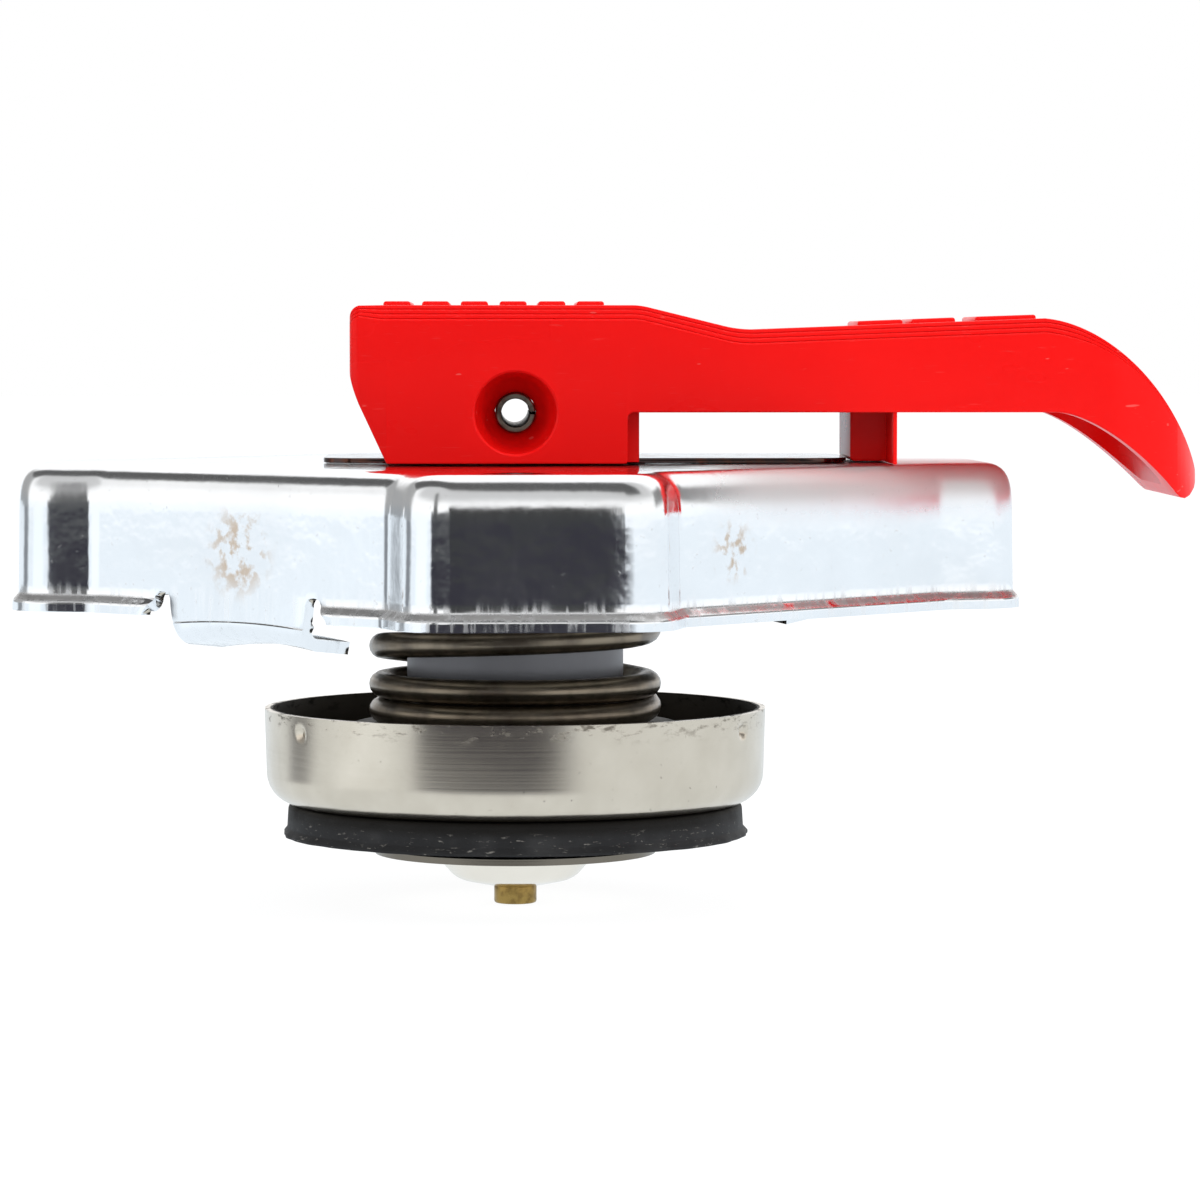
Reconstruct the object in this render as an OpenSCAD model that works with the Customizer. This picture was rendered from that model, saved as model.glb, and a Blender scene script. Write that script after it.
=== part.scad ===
// Radiator pressure cap with a safety lever.
// The origin is the centre of the filler neck's rim, under the neck gasket. +Z points up through the lever.

/* [Shell] */
// Distance from the axis to the outer wall of a lobe
lobe_reach = 35.5; // [34:0.1:38]
// Half the width of a lobe at its outer wall
lobe_half_w = 8; // [7:0.1:9]
// Distance from the axis to the root of a lobe, measured along the lobe
lobe_root = 29.5; // [29:0.1:31]
// Distance from the axis to the outer face of a diagonal flat
flat_reach = 27.6; // [27:0.1:28.5]
// Radius of the outer corners of a lobe
lobe_corner_r = 3.2; // [2.6:0.1:4]
// Radius of the hollow corner between a lobe and a flat
root_corner_r = 2.5; // [1.5:0.1:3.5]
// Thickness of the pressed sheet
sheet_t = 0.85; // [0.6:0.05:1]
// Height of the shell from its top to its lip
shell_h = 10.15; // [9:0.05:11.5]
// Height of the shell's top above the rim of the neck
shell_top_z = 4.35; // [4:0.05:5]
// Depth of the seat pressed into the top round the centre hole
seat_depth = 0.55; // [0.4:0.05:0.7]
// Radius of the rounded top edge
edge_r = 2.2; // [1.5:0.1:2.5]
// Height of the flared lip
lip_h = 1.05; // [0.8:0.05:1.6]
// How far the lip stands out from the wall
lip_out = 0.35; // [0.1:0.05:0.6]
// How far the wall leans out from top to lip
wall_draft = 0.2; // [0.1:0.05:0.4]
// Turn of the lobes from the lever's line
shell_turn = 2.2; // [0:0.2:45]

/* [Cam tabs] */
// Width of a cam tab
tab_w = 13; // [10:0.5:16]
// How far a tab reaches in from the outer face of its flat
tab_reach = 4.5; // [3.5:0.1:6]
// Distance from the lip down to the underside of a tab's bend
tab_drop = 1.8; // [1.2:0.1:2.6]
// How much lower the inner edge of a tab lies than its bend
tab_dip = 0.5; // [0:0.1:1]
// Outer radius of a tab's bend
tab_bend_r = 1.7; // [1.3:0.1:2.2]
// Width of the relief notch at each side of a tab
notch_w = 1.6; // [1:0.1:2.5]
// Height of the relief notch above the lip
notch_h = 1.7; // [1.2:0.1:2.4]

/* [Centre bushing and diaphragm] */
// Thickness of the bushing's wall
bushing_wall = 1.35; // [1:0.05:1.8]
// Thickness of the flange crimped over the shell
crimp_t = 0.55; // [0.4:0.05:0.8]
// Radius of the flange crimped over the shell
crimp_r = 9.4; // [8.8:0.1:11]
// Height of the seal housing under the diaphragm
housing_h = 2.2; // [2:0.1:2.6]
// Thickness of the rubber ring round the stem
stem_seal_t = 1.44; // [1.2:0.02:1.6]
// Thickness of the spring-steel diaphragm
diaphragm_t = 0.45; // [0.3:0.05:0.6]
// Outer radius of the diaphragm
diaphragm_r = 25.5; // [24:0.1:26]
// Thickness of the neck gasket
gasket_t = 1.6; // [1.2:0.1:1.9]
// Inner radius of the neck gasket
gasket_in_r = 19.4; // [19:0.1:21]
// Outer radius of the neck gasket
gasket_out_r = 25.2; // [23.5:0.1:25.4]

/* [Guide strip] */
// Thickness of the guide strip
strip_t = 0.35; // [0.25:0.05:0.6]
// Length of the guide strip behind the axis
strip_back = 13.5; // [12:0.1:16]
// Length of the guide strip in front of the axis
strip_front = 22.6; // [18:0.1:23.2]
// Half the width of the guide strip
strip_half_w = 7; // [6.4:0.1:8.5]
// Radius of the guide strip's corners
strip_corner_r = 2.5; // [1:0.1:4]

/* [Lever] */
// Width of the lever
lever_w = 24; // [22:0.5:28]
// Height of the pin above the cam feet
pin_height = 3.49; // [3.3:0.01:4]
// Distance from the pin back to the heel's rear wall
heel_back = 11.45; // [11:0.05:12.5]
// Distance from the pin back to the rear edge of the cam feet
foot_back = 8.9; // [8.4:0.1:9]
// Distance from the pin to the front of the cam feet
foot_front = 7.7; // [7:0.1:9]
// Height above the pin at which the rear wall starts to slant in
slant_rise = 1.95; // [1.2:0.05:3]
// Height of the heel's top above the pin
heel_rise = 7.45; // [7:0.05:8.5]
// Distance from the pin to the end of the heel's flat top
heel_top_end = 8.6; // [8:0.1:10]
// Distance from the pin to the foot of the slope in front of the heel
slope_end = 15.5; // [14:0.1:18]
// Height of the beam's top above the pin at the slope
beam_rise = 5.75; // [5.2:0.05:6.2]
// Height of the beam's top above the pin at the start of the curl
curl_rise = 6.55; // [6:0.05:7]
// Distance from the pin to the start of the curl
curl_start = 36.6; // [34:0.1:38]
// Height of the beam's lower edge above the pin
beam_edge_rise = 0.05; // [-0.3:0.05:0.6]
// Distance from the pin to the lever's tip
tip_reach = 47.95; // [46:0.05:49]
// Depth of the tip's lower edge below the pin
tip_drop = 5.6; // [4.5:0.1:6]
// Thickness of the lever's walls
lever_wall = 2.4; // [2:0.1:2.8]
// Radius of the tip's corners, seen from above
tip_corner_r = 7; // [3:0.5:10]
// Radius of the heel's corners, seen from above
heel_corner_r = 0.8; // [0.4:0.1:1.5]
// Rounding of the rear edge of the cam feet
cam_r = 0.8; // [0.5:0.1:1]
// Rounding of the heel's top edge
heel_edge_r = 1; // [0.4:0.1:1.5]
// Height of the stepped band along the lever's top
band_h = 1; // [0.5:0.1:1.4]
// How far the stepped band sits in from the sides
band_in = 0.35; // [0.2:0.05:0.6]
// Distance from the pin to the front face of the prop leg
leg_front = 27.1; // [26:0.1:28]
// Length of the prop leg along the lever
leg_len = 3.05; // [2.5:0.05:3.5]
// Width of the prop leg across the lever
leg_w = 4; // [3:0.1:6]
// Thickness of the cross wall and the ribs
rib_t = 0.9; // [0.7:0.1:1.5]
// Height of the grip ribs on top of the lever
grip_h = 0.4; // [0.2:0.05:0.6]
// Length of a grip rib along the lever
grip_len = 1.7; // [1:0.1:2]
// Distance between grip ribs
grip_pitch = 2.65; // [2.4:0.05:2.9]
// Length of a grip pad along the beam
pad_len = 3.4; // [2.5:0.1:3.8]
// Distance between grip pads
pad_pitch = 4.4; // [4:0.1:5]

/* [Roll pin] */
// Diameter of the roll pin
pin_d = 2.8; // [2.5:0.1:3.2]
// Thickness of the roll pin's wall
pin_wall = 0.42; // [0.3:0.02:0.55]
// Width of the roll pin's slot
pin_slot = 0.5; // [0.3:0.1:0.8]
// Depth of the dished countersink at each end of the pin
dish_depth = 1.5; // [1:0.1:1.8]
// Radius of the dished countersink
dish_r = 2.85; // [2.4:0.05:3.2]

/* [Stem] */
// Radius of the stem's neck
neck_r = 5; // [4.8:0.05:5.2]
// Half the thickness of the eye that takes the pin
eye_half_t = 4.6; // [4:0.1:4.7]
// Height of the stem's barrel
barrel_h = 5.65; // [5:0.05:6]
// Distance from the neck's rim down to the stem's lower end
stem_reach = 11.6; // [11.3:0.1:12.2]
// Thickness of the hooked lip inside the barrel's lower end
hook_t = 1; // [0.8:0.05:1.2]
// Wall of the barrel above the hook
barrel_wall = 1.675; // [1.3:0.025:1.9]
// Wall of the neck round the vacuum pin
neck_wall = 1.4; // [1.2:0.05:1.5]

/* [Valve] */
// Outer radius of the cup's rim
cup_r = 17.9; // [17:0.1:18.5]
// Height of the cup
cup_h = 6.8; // [6:0.1:7.2]
// Distance from the neck's rim down to the rim of the cup
cup_drop = 13.2; // [12.8:0.1:14]
// Thickness of the cup's sheet
cup_t = 0.6; // [0.4:0.05:0.8]
// How much narrower the cup is at its floor
cup_taper = 0.44; // [0.1:0.02:0.8]
// Outer bend radius at the cup's floor
cup_bend_r = 2.2; // [1.6:0.1:2.6]
// Depth of the spring platform below the cup's rim
platform_depth = 1.1; // [0.9:0.1:2]
// Radius of the dimples below the cup's rim
dimple_r = 0.8; // [0.5:0.1:1]
// Radius of the post's body through the cup and the seal
post_r = 4.4; // [4:0.1:4.8]
// Radius of the post's flanges
post_flange_r = 5.4; // [5.1:0.05:5.6]
// Radius of the post's neck
post_neck_r = 3.7; // [3.4:0.05:3.9]
// Radius of the bore through the post
post_bore_r = 2.6; // [2.2:0.1:2.7]
// Thickness of the post's head
post_head_t = 0.9; // [0.7:0.1:1.2]
// Radius of the pressure seal
seal_r = 16.35; // [15.5:0.05:16.6]
// Thickness of the pressure seal
seal_t = 2.25; // [1.8:0.05:2.8]
// How far the seal's lip stands out
seal_lip = 0.35; // [0.2:0.05:0.5]
// Height of the bead under the seal that the vacuum disc closes on
bead_h = 0.85; // [0.6:0.05:1]

/* [Pressure spring] */
// Diameter of the spring's wire
wire_d = 1.8; // [1.5:0.05:1.85]
// Outer diameter of the spring
spring_d = 20.9; // [20.7:0.05:21.2]
// Turns between the closed ends
active_turns = 2.8; // [2.3:0.1:3.3]
// Clearance between the spring and the stem inside it
spring_gap = 0.875; // [0.6:0.025:1]
// Width of the diaphragm's flat middle beyond the spring
mid_margin = 0.75; // [0.5:0.05:1.5]
// Width of the cup's platform beyond the spring
platform_margin = 1.85; // [1.4:0.05:2.5]

/* [Vacuum valve] */
// Radius of the vacuum disc
disc_r = 10.05; // [9.5:0.05:10.5]
// Thickness of the vacuum disc
disc_t = 0.45; // [0.3:0.05:0.6]
// Radius of the dome in the vacuum disc
dome_r = 5.9; // [5.7:0.05:6.3]
// Depth of the dome below the disc
dome_h = 2.35; // [1.8:0.05:2.8]
// Radius of the brass pin below the dome
brass_r = 1.52; // [1.2:0.02:1.8]
// Radius of the brass pin inside the post
brass_shank_r = 1.1; // [0.9:0.05:1.3]
// How far the brass pin stands out below the dome
brass_out = 1.3; // [0.8:0.1:2]
// Height of the vacuum spring
vacuum_spring_h = 2.4; // [2.2:0.1:2.6]
// Diameter of the vacuum spring's wire
vacuum_wire_d = 0.35; // [0.25:0.05:0.4]
// Turns of the vacuum spring
vacuum_turns = 2.5; // [2:0.25:3]
// Thickness of the keeper washer
keeper_t = 0.5; // [0.4:0.05:0.6]
// Height of the riveted end above the keeper
rivet_h = 0.4; // [0.2:0.05:0.5]

/* [Clearances] */
// Running clearance of turning and sliding fits
run_gap = 0.05; // [0.02:0.01:0.1]
// Clearance between pieces that seat on each other
seat_gap = 0.03; // [0.01:0.01:0.05]
// Clearance under the lever's cam feet at rest
foot_gap = 0.12; // [0.1:0.01:0.2]
// Clearance round moving pieces
move_gap = 0.3; // [0.2:0.05:0.4]
// How far the valve can lift on its post when the pressure opens it
relief_travel = 1; // [0.8:0.1:1.8]

/* [Hidden] */
$fn = 64;

// Small overlap that lets a cut pass a face
past = 1;
// Steps along a rounded corner, a bend and a drawn curve
corner_steps = 6;
bend_steps = 5;
curve_steps = 12;

// Levels from the shell down to the diaphragm's housing
shell_under_z = shell_top_z - sheet_t;
seat_z = shell_top_z - seat_depth;
lip_z = shell_top_z - shell_h;
tab_z = lip_z - tab_drop;
diaphragm_mid_z = seat_z - sheet_t - seat_gap - diaphragm_t;
diaphragm_rim_z = gasket_t + seat_gap;
housing_top_z = diaphragm_mid_z - seat_gap;
housing_z = housing_top_z - housing_h;

// Levels from the shell up to the lever
crimp_z = seat_z + seat_gap;
strip_z = max(crimp_z + crimp_t, shell_top_z) + seat_gap;
strip_top_z = strip_z + strip_t;
foot_z = shell_top_z + foot_gap;
pin_z = foot_z + pin_height;
leg_z = shell_top_z + foot_gap;

// Radii of what the pressure spring goes round and stands on
spring_in_r = spring_d / 2 - wire_d;
barrel_r = spring_in_r - spring_gap;
housing_r = spring_in_r - spring_gap / 2;
diaphragm_mid_r = spring_d / 2 + mid_margin;
platform_r = spring_d / 2 + platform_margin;

// Radii of the fits round the stem, the pin and the post
bushing_bore_r = neck_r + run_gap;
bushing_r = bushing_bore_r + bushing_wall;
shell_hole_r = bushing_r + seat_gap;
pin_r = pin_d / 2;
eye_bore_r = pin_r + run_gap;
cheek_bore_r = pin_r + seat_gap;
eye_r = heel_rise - lever_wall - move_gap - run_gap;
barrel_bore_r = barrel_r - barrel_wall;
neck_bore_r = neck_r - neck_wall;
hook_r = post_neck_r + move_gap + run_gap;
post_head_r = barrel_bore_r - 2 * move_gap - 2 * run_gap;
lever_half_w = lever_w / 2;
lever_in = lever_half_w - lever_wall;
boss_in = eye_half_t + move_gap;
boss_r = pin_z - strip_top_z - move_gap;
pin_half_len = lever_half_w - dish_depth;

// Levels of the stem and the post that hangs in it
stem_z = -stem_reach;
hook_z = stem_z + hook_t;
barrel_top_z = stem_z + barrel_h;
post_head_z = hook_z + 2 * run_gap;
post_top_z = post_head_z + post_head_t;

// Levels of the cup, the seal and the vacuum disc
cup_rim_z = -cup_drop;
cup_z = cup_rim_z - cup_h;
platform_z = cup_rim_z - platform_depth;
seal_top_z = cup_z - seat_gap;
seal_z = seal_top_z - seal_t;
disc_top_z = seal_z - bead_h - seat_gap;
dome_z = disc_top_z - disc_t - dome_h;
keeper_z = post_top_z + vacuum_spring_h;
rivet_z = keeper_z + keeper_t;

// Small details: bends, flanges, bead, flow holes, snap slots, grip ribs and the dimples' place
platform_bend_r = 1;
platform_edge_r = 0.5;
soft_bend_r = 6;
post_flange_t = 0.5;
collar_t = 0.65;
bead_mid_r = (dome_r + disc_r) / 2 + 0.4;
bead_half_w = 1;
flow_hole_r = 0.8;
snap_slot_w = 2;
snap_slot_h = 3;
tip_round = 1.6;
grip_margin = 2.6;
heel_grips = 6;
beam_grips = 3;
dimple_angle = -27;
keeper_r = neck_bore_r - move_gap;

// Unit vector, its right-hand normal, a turned vector and a list from its end
function unit(v) = v / norm(v);
function right(v) = [v[1], -v[0]];
function turned(v, a) = [v[0] * cos(a) - v[1] * sin(a), v[0] * sin(a) + v[1] * cos(a)];
function reversed(list) = [for (i = [len(list) - 1 : -1 : 0]) list[i]];

// Corner p between a and b, moved out to the right of the path by d
function moved_corner(a, p, b, d) =
    let (n1 = right(unit(p - a)), n2 = right(unit(b - p)))
    p + d * (n1 + n2) / (1 + n1 * n2);

// Points of the arc of radius r that rounds corner p between a and b
function corner_arc(a, p, b, r, steps) =
    let (u1 = unit(p - a), u2 = unit(b - p))
    let (turn = atan2(u1[0] * u2[1] - u1[1] * u2[0], u1 * u2))
    let (reach = r * tan(abs(turn) / 2), out = sign(turn) * right(u1))
    let (centre = p - reach * u1 - r * out)
    [for (i = [0 : steps]) centre + r * turned(out, turn * i / steps)];

// Is the corner between a, p and b a left turn (1) or a right turn (-1)?
function turn_sign(a, p, b) = sign((p - a)[0] * (b - p)[1] - (p - a)[1] * (b - p)[0]);

// A closed outline with every corner rounded by its own radius, moved out by d
function rounded_outline(points, radii, d, steps) =
    let (n = len(points))
    [for (i = [0 : n - 1])
        let (a = points[(i + n - 1) % n], p = points[i], b = points[(i + 1) % n])
        let (z = points[(i + n - 2) % n], c = points[(i + 2) % n])
        each corner_arc(moved_corner(z, a, p, d), moved_corner(a, p, b, d), moved_corner(p, b, c, d),
            radii[i] + d * turn_sign(a, p, b), steps)];

// One side of a bent sheet: the open path moved to its right by d, with its bends rounded
function sheet_side(path, radii, d) =
    let (last = len(path) - 1)
    let (shifted = [for (i = [0 : last])
        i == 0 ? path[0] + d * right(unit(path[1] - path[0]))
        : i == last ? path[last] + d * right(unit(path[last] - path[last - 1]))
        : moved_corner(path[i - 1], path[i], path[i + 1], d)])
    concat([shifted[0]],
        [for (i = [1 : last - 1]) each corner_arc(shifted[i - 1], shifted[i], shifted[i + 1],
            radii[i - 1] + d * turn_sign(path[i - 1], path[i], path[i + 1]), bend_steps)],
        [shifted[last]]);

// Section of a sheet of thickness t that follows a path, with the sheet on the path's right
function bent_sheet(path, radii, t) =
    concat(sheet_side(path, radii, 0), reversed(sheet_side(path, radii, t)));

// Point on a cubic curve through p[0] and p[3]
function curve_point(p, t) = pow(1 - t, 3) * p[0] + 3 * t * pow(1 - t, 2) * p[1] + 3 * t * t * (1 - t) * p[2]
    + pow(t, 3) * p[3];
function curve(p) = [for (i = [0 : curve_steps]) curve_point(p, i / curve_steps)];

// The shell's plan, moved out by d: four lobes joined by diagonal flats
lobe_root_half_w = flat_reach * sqrt(2) - lobe_root;
lobe_plan = [[lobe_root, -lobe_root_half_w], [lobe_reach, -lobe_half_w], [lobe_reach, lobe_half_w],
    [lobe_root, lobe_root_half_w]];
shell_plan = [for (i = [0 : 3]) for (p = lobe_plan) turned(p, 90 * i)];
shell_radii = [for (i = [0 : 3]) each [root_corner_r, lobe_corner_r, lobe_corner_r, root_corner_r]];
function shell_ring(d, z) =
    [for (p = rounded_outline(shell_plan, shell_radii, d, corner_steps)) [p[0], p[1], z]];

// Sections of the pressed wall as [distance out, height], up the outside and down the inside
lip_d = wall_draft + lip_out;
inner_edge_r = edge_r - sheet_t;
outer_rows = concat(
    [[lip_d, lip_z], [lip_d, lip_z + 0.7 * lip_h], [wall_draft, lip_z + 1.2 * lip_h]],
    [for (i = [0 : bend_steps]) let (a = 90 * i / bend_steps)
        [-edge_r * (1 - cos(a)), shell_top_z - edge_r * (1 - sin(a))]]);
inner_rows = concat(
    [for (i = [bend_steps : -1 : 0]) let (a = 90 * i / bend_steps)
        [-edge_r + inner_edge_r * cos(a), shell_top_z - edge_r + inner_edge_r * sin(a)]],
    [[wall_draft - sheet_t, lip_z + 1.2 * lip_h], [lip_d - sheet_t, lip_z + 0.7 * lip_h],
        [lip_d - sheet_t, lip_z]]);

// The pressed sheet: its section carried round the plan, closed over the top
module pressed_shell() {
    rows = concat(outer_rows, inner_rows);
    rings = [for (row = rows) shell_ring(row[0], row[1])];
    n = len(rings[0]);
    m = len(rows);
    turn_row = len(outer_rows) - 1;
    points = concat([for (ring = rings) each ring], [[0, 0, shell_top_z], [0, 0, shell_under_z]]);
    walls = [for (r = [0 : m - 1]) if (r != turn_row) for (i = [0 : n - 1])
        let (k = (i + 1) % n, low = r * n, high = ((r + 1) % m) * n)
        each [[low + i, high + i, high + k], [low + i, high + k, low + k]]];
    top = [for (i = [0 : n - 1]) [m * n, turn_row * n + (i + 1) % n, turn_row * n + i]];
    under = [for (i = [0 : n - 1]) [m * n + 1, (turn_row + 1) * n + i, (turn_row + 1) * n + (i + 1) % n]];
    polyhedron(points = points, faces = concat(walls, top, under), convexity = 6);
}

// A cam tab, bent in under the neck's cams, with its wall sunk in the sheet that it continues
module cam_tab() {
    sunk = 0.05;
    t = sheet_t - 2 * sunk;
    face = flat_reach + sunk / 2;
    root_z = lip_z + notch_h;
    path = [[face, root_z + 0.5], [face, tab_z], [face - tab_reach, tab_z - tab_dip]];
    rotate([90, 0, 0])
        linear_extrude(tab_w, center = true) polygon(bent_sheet(path, [tab_bend_r], t));
}

// The gap in the lip that a cam tab comes out of, with round-topped relief notches
module tab_gap() {
    gap_w = tab_w + 2 * notch_w;
    depth = 2 * sheet_t + lip_d;
    translate([flat_reach - 1.5 * sheet_t, -gap_w / 2, lip_z - past])
        cube([depth + past, gap_w, past + notch_h - notch_w / 2]);
    for (side = [-1, 1])
        translate([flat_reach - 1.5 * sheet_t, side * (tab_w + notch_w) / 2, lip_z + notch_h - notch_w / 2])
            rotate([0, 90, 0]) cylinder(r = notch_w / 2, h = depth + past);
    translate([flat_reach - 1.5 * sheet_t, -tab_w / 2, lip_z])
        cube([depth + past, tab_w, notch_h]);
}

module shell() {
    seat_r = crimp_r + move_gap;
    seat_under_z = seat_z - sheet_t;
    color("silver") rotate([0, 0, shell_turn]) {
        difference() {
            union() {
                pressed_shell();
                translate([0, 0, seat_under_z])
                    cylinder(r1 = seat_r, r2 = seat_r + sheet_t, h = seat_depth + sheet_t / 2);
            }
            translate([0, 0, seat_z]) cylinder(r = seat_r, h = seat_depth + past);
            translate([0, 0, seat_under_z - past]) cylinder(r = shell_hole_r, h = sheet_t + 2 * past);
            for (a = [45, 225]) rotate([0, 0, a]) tab_gap();
        }
        for (a = [45, 225]) rotate([0, 0, a]) cam_tab();
    }
}

// Turned eyelet: crimped over the shell, with a groove for the stem's rubber ring in its lower housing
module centre_bushing() {
    groove_r = bushing_bore_r + stem_seal_t + 2 * seat_gap;
    groove_half = stem_seal_t / 2 + seat_gap;
    groove_z = (housing_z + housing_top_z) / 2;
    color("lightsteelblue") rotate_extrude() polygon([
        [bushing_bore_r, housing_z], [housing_r, housing_z], [housing_r, housing_top_z],
        [bushing_r, housing_top_z], [bushing_r, crimp_z], [crimp_r, crimp_z], [crimp_r, crimp_z + crimp_t],
        [bushing_bore_r, crimp_z + crimp_t],
        [bushing_bore_r, groove_z + groove_half], [groove_r, groove_z + groove_half],
        [groove_r, groove_z - groove_half], [bushing_bore_r, groove_z - groove_half]]);
}

module stem_seal() {
    color("dimgray") translate([0, 0, (housing_z + housing_top_z) / 2])
        rotate_extrude() translate([bushing_bore_r + stem_seal_t / 2, 0]) circle(r = stem_seal_t / 2);
}

// Dished spring-steel disc: a flat middle under the shell and a flat rim on the gasket
module neck_diaphragm() {
    path = [[diaphragm_r, diaphragm_rim_z], [gasket_in_r, diaphragm_rim_z],
        [diaphragm_mid_r, diaphragm_mid_z], [bushing_r + seat_gap, diaphragm_mid_z]];
    color("gainsboro") rotate_extrude() polygon(bent_sheet(path, [soft_bend_r, soft_bend_r], diaphragm_t));
}

module neck_gasket() {
    edge = gasket_t / 4;
    plan = [[gasket_in_r, 0], [gasket_out_r, 0], [gasket_out_r, gasket_t], [gasket_in_r, gasket_t]];
    color("dimgray") rotate_extrude()
        polygon(rounded_outline(plan, [edge, edge, edge, edge], 0, bend_steps));
}

// Strip of dark spring steel on the eyelet, between the lever's cheeks, with a hole for the stem
module guide_strip() {
    plan = [[-strip_back, -strip_half_w], [strip_front, -strip_half_w], [strip_front, strip_half_w],
        [-strip_back, strip_half_w]];
    radii = [for (p = plan) strip_corner_r];
    color("darkslategray") translate([0, 0, strip_z]) difference() {
        linear_extrude(strip_t) polygon(rounded_outline(plan, radii, 0, corner_steps));
        translate([0, 0, -past]) cylinder(r = neck_r + move_gap, h = strip_t + 2 * past);
    }
}

// Eye at the top of the stem, seen from the side, extruded across the lever
module stem_eye() {
    flat_z = pin_z - boss_r - move_gap;
    intersection() {
        translate([0, 0, flat_z - past]) cylinder(r = neck_r, h = pin_z + eye_r - flat_z + past);
        rotate([90, 0, 0]) linear_extrude(2 * eye_half_t, center = true) union() {
            translate([-eye_r, flat_z - past]) square([2 * eye_r, pin_z - flat_z + past]);
            translate([0, pin_z]) circle(r = eye_r);
        }
    }
}

// Moulded plunger: an eye for the pin, a round neck, and a barrel with a hooked lip that lifts the post
module stem() {
    ceiling_z = barrel_top_z - barrel_wall;
    neck_ceiling_z = rivet_z + rivet_h + relief_travel + 3 * move_gap;
    eye_z = pin_z - boss_r - move_gap;
    color("slategray") difference() {
        union() {
            rotate_extrude() polygon([
                [hook_r, stem_z], [barrel_r, stem_z], [barrel_r, barrel_top_z], [neck_r, barrel_top_z],
                [neck_r, eye_z], [0, eye_z], [0, neck_ceiling_z], [neck_bore_r, neck_ceiling_z],
                [neck_bore_r, ceiling_z], [barrel_bore_r, ceiling_z], [barrel_bore_r, hook_z],
                [hook_r, hook_z]]);
            stem_eye();
        }
        translate([0, 0, pin_z]) rotate([90, 0, 0]) cylinder(r = eye_bore_r, h = 4 * neck_r, center = true);
        for (side = [-1, 1])
            translate([side * (barrel_r + hook_r) / 2, 0, stem_z + snap_slot_h / 2 - past / 2])
                cube([2 * (barrel_r - hook_r), snap_slot_w, snap_slot_h + past], center = true);
    }
}

// Lines of the lever's side view, measured from the pin: its top from heel to tip, lowered by d
function lever_top(d) = concat(
    [[heel_top_end, heel_rise - d], [slope_end, beam_rise - d]],
    curve([[curl_start, curl_rise - d], [curl_start + 4.6, curl_rise - 0.4 - d],
        [tip_reach - 2.1, 1.3], [tip_reach, tip_round - tip_drop]]));
tip_under = curve([[curl_start + 0.8, beam_edge_rise], [curl_start + 3.4, beam_edge_rise - 0.1],
    [tip_reach - 4.1, 2.7 - tip_drop], [tip_reach - tip_round, -tip_drop]]);
heel_corner = corner_arc([heel_top_end, heel_rise], [-heel_back, heel_rise], [-heel_back, slant_rise],
    heel_edge_r, corner_steps);
cam_corner = corner_arc([-heel_back, slant_rise], [-foot_back, -pin_height], [foot_front, -pin_height],
    cam_r, corner_steps);

// Side view of the lever, with its top lowered by d
module lever_side(d) {
    polygon(concat(cam_corner, [[foot_front, -pin_height], [foot_front, beam_edge_rise]], tip_under,
        reversed(lever_top(d)), [for (p = heel_corner) p - [0, d]], [[-heel_back, slant_rise]]));
}

// Side view of the hollow under the lever, which leaves the top wall and the finger end
module lever_hollow_side() {
    low = -tip_drop - past;
    roof = curve([[curl_start, curl_rise - lever_wall], [curl_start + 3.4, curl_rise - 0.6 - lever_wall],
        [tip_reach - 4.4, 1.8], [tip_reach - lever_wall, tip_round - tip_drop]]);
    polygon(concat([[lever_wall - heel_back, low], [tip_reach - lever_wall, low]], reversed(roof),
        [[slope_end, beam_rise - lever_wall], [heel_top_end, heel_rise - lever_wall],
            [lever_wall - heel_back, heel_rise - lever_wall]]));
}

// Plan of the lever, in from its sides by inset: square at the heel, round-cornered at the tip
module lever_plan(inset) {
    plan = [[-heel_back, -lever_half_w], [tip_reach, -lever_half_w], [tip_reach, lever_half_w],
        [-heel_back, lever_half_w]];
    radii = [for (r = [heel_corner_r, tip_corner_r, tip_corner_r, heel_corner_r]) max(r, inset + 0.2)];
    polygon(rounded_outline(plan, radii, -inset, corner_steps));
}

// A side view carried across the lever and trimmed to its plan
module across_lever(inset) {
    intersection() {
        rotate([90, 0, 0]) linear_extrude(lever_w - 2 * inset, center = true) children();
        translate([0, 0, -2 * lever_w]) linear_extrude(4 * lever_w) lever_plan(inset);
    }
}

// Plain raised bars across the top of the lever
module grip_ribs() {
    bar_w = lever_w - 2 * grip_margin;
    for (i = [0 : heel_grips - 1])
        translate([grip_margin - heel_back + i * grip_pitch, -bar_w / 2, heel_rise - grip_h])
            cube([grip_len, bar_w, 2 * grip_h]);
    beam_tilt = atan2(curl_rise - beam_rise, curl_start - slope_end);
    translate([curl_start, 0, curl_rise]) rotate([0, -beam_tilt, 0])
        for (i = [0 : beam_grips - 1])
            translate([-i * pad_pitch - pad_len, -bar_w / 2, -grip_h])
                cube([pad_len, bar_w, 2 * grip_h]);
}

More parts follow.
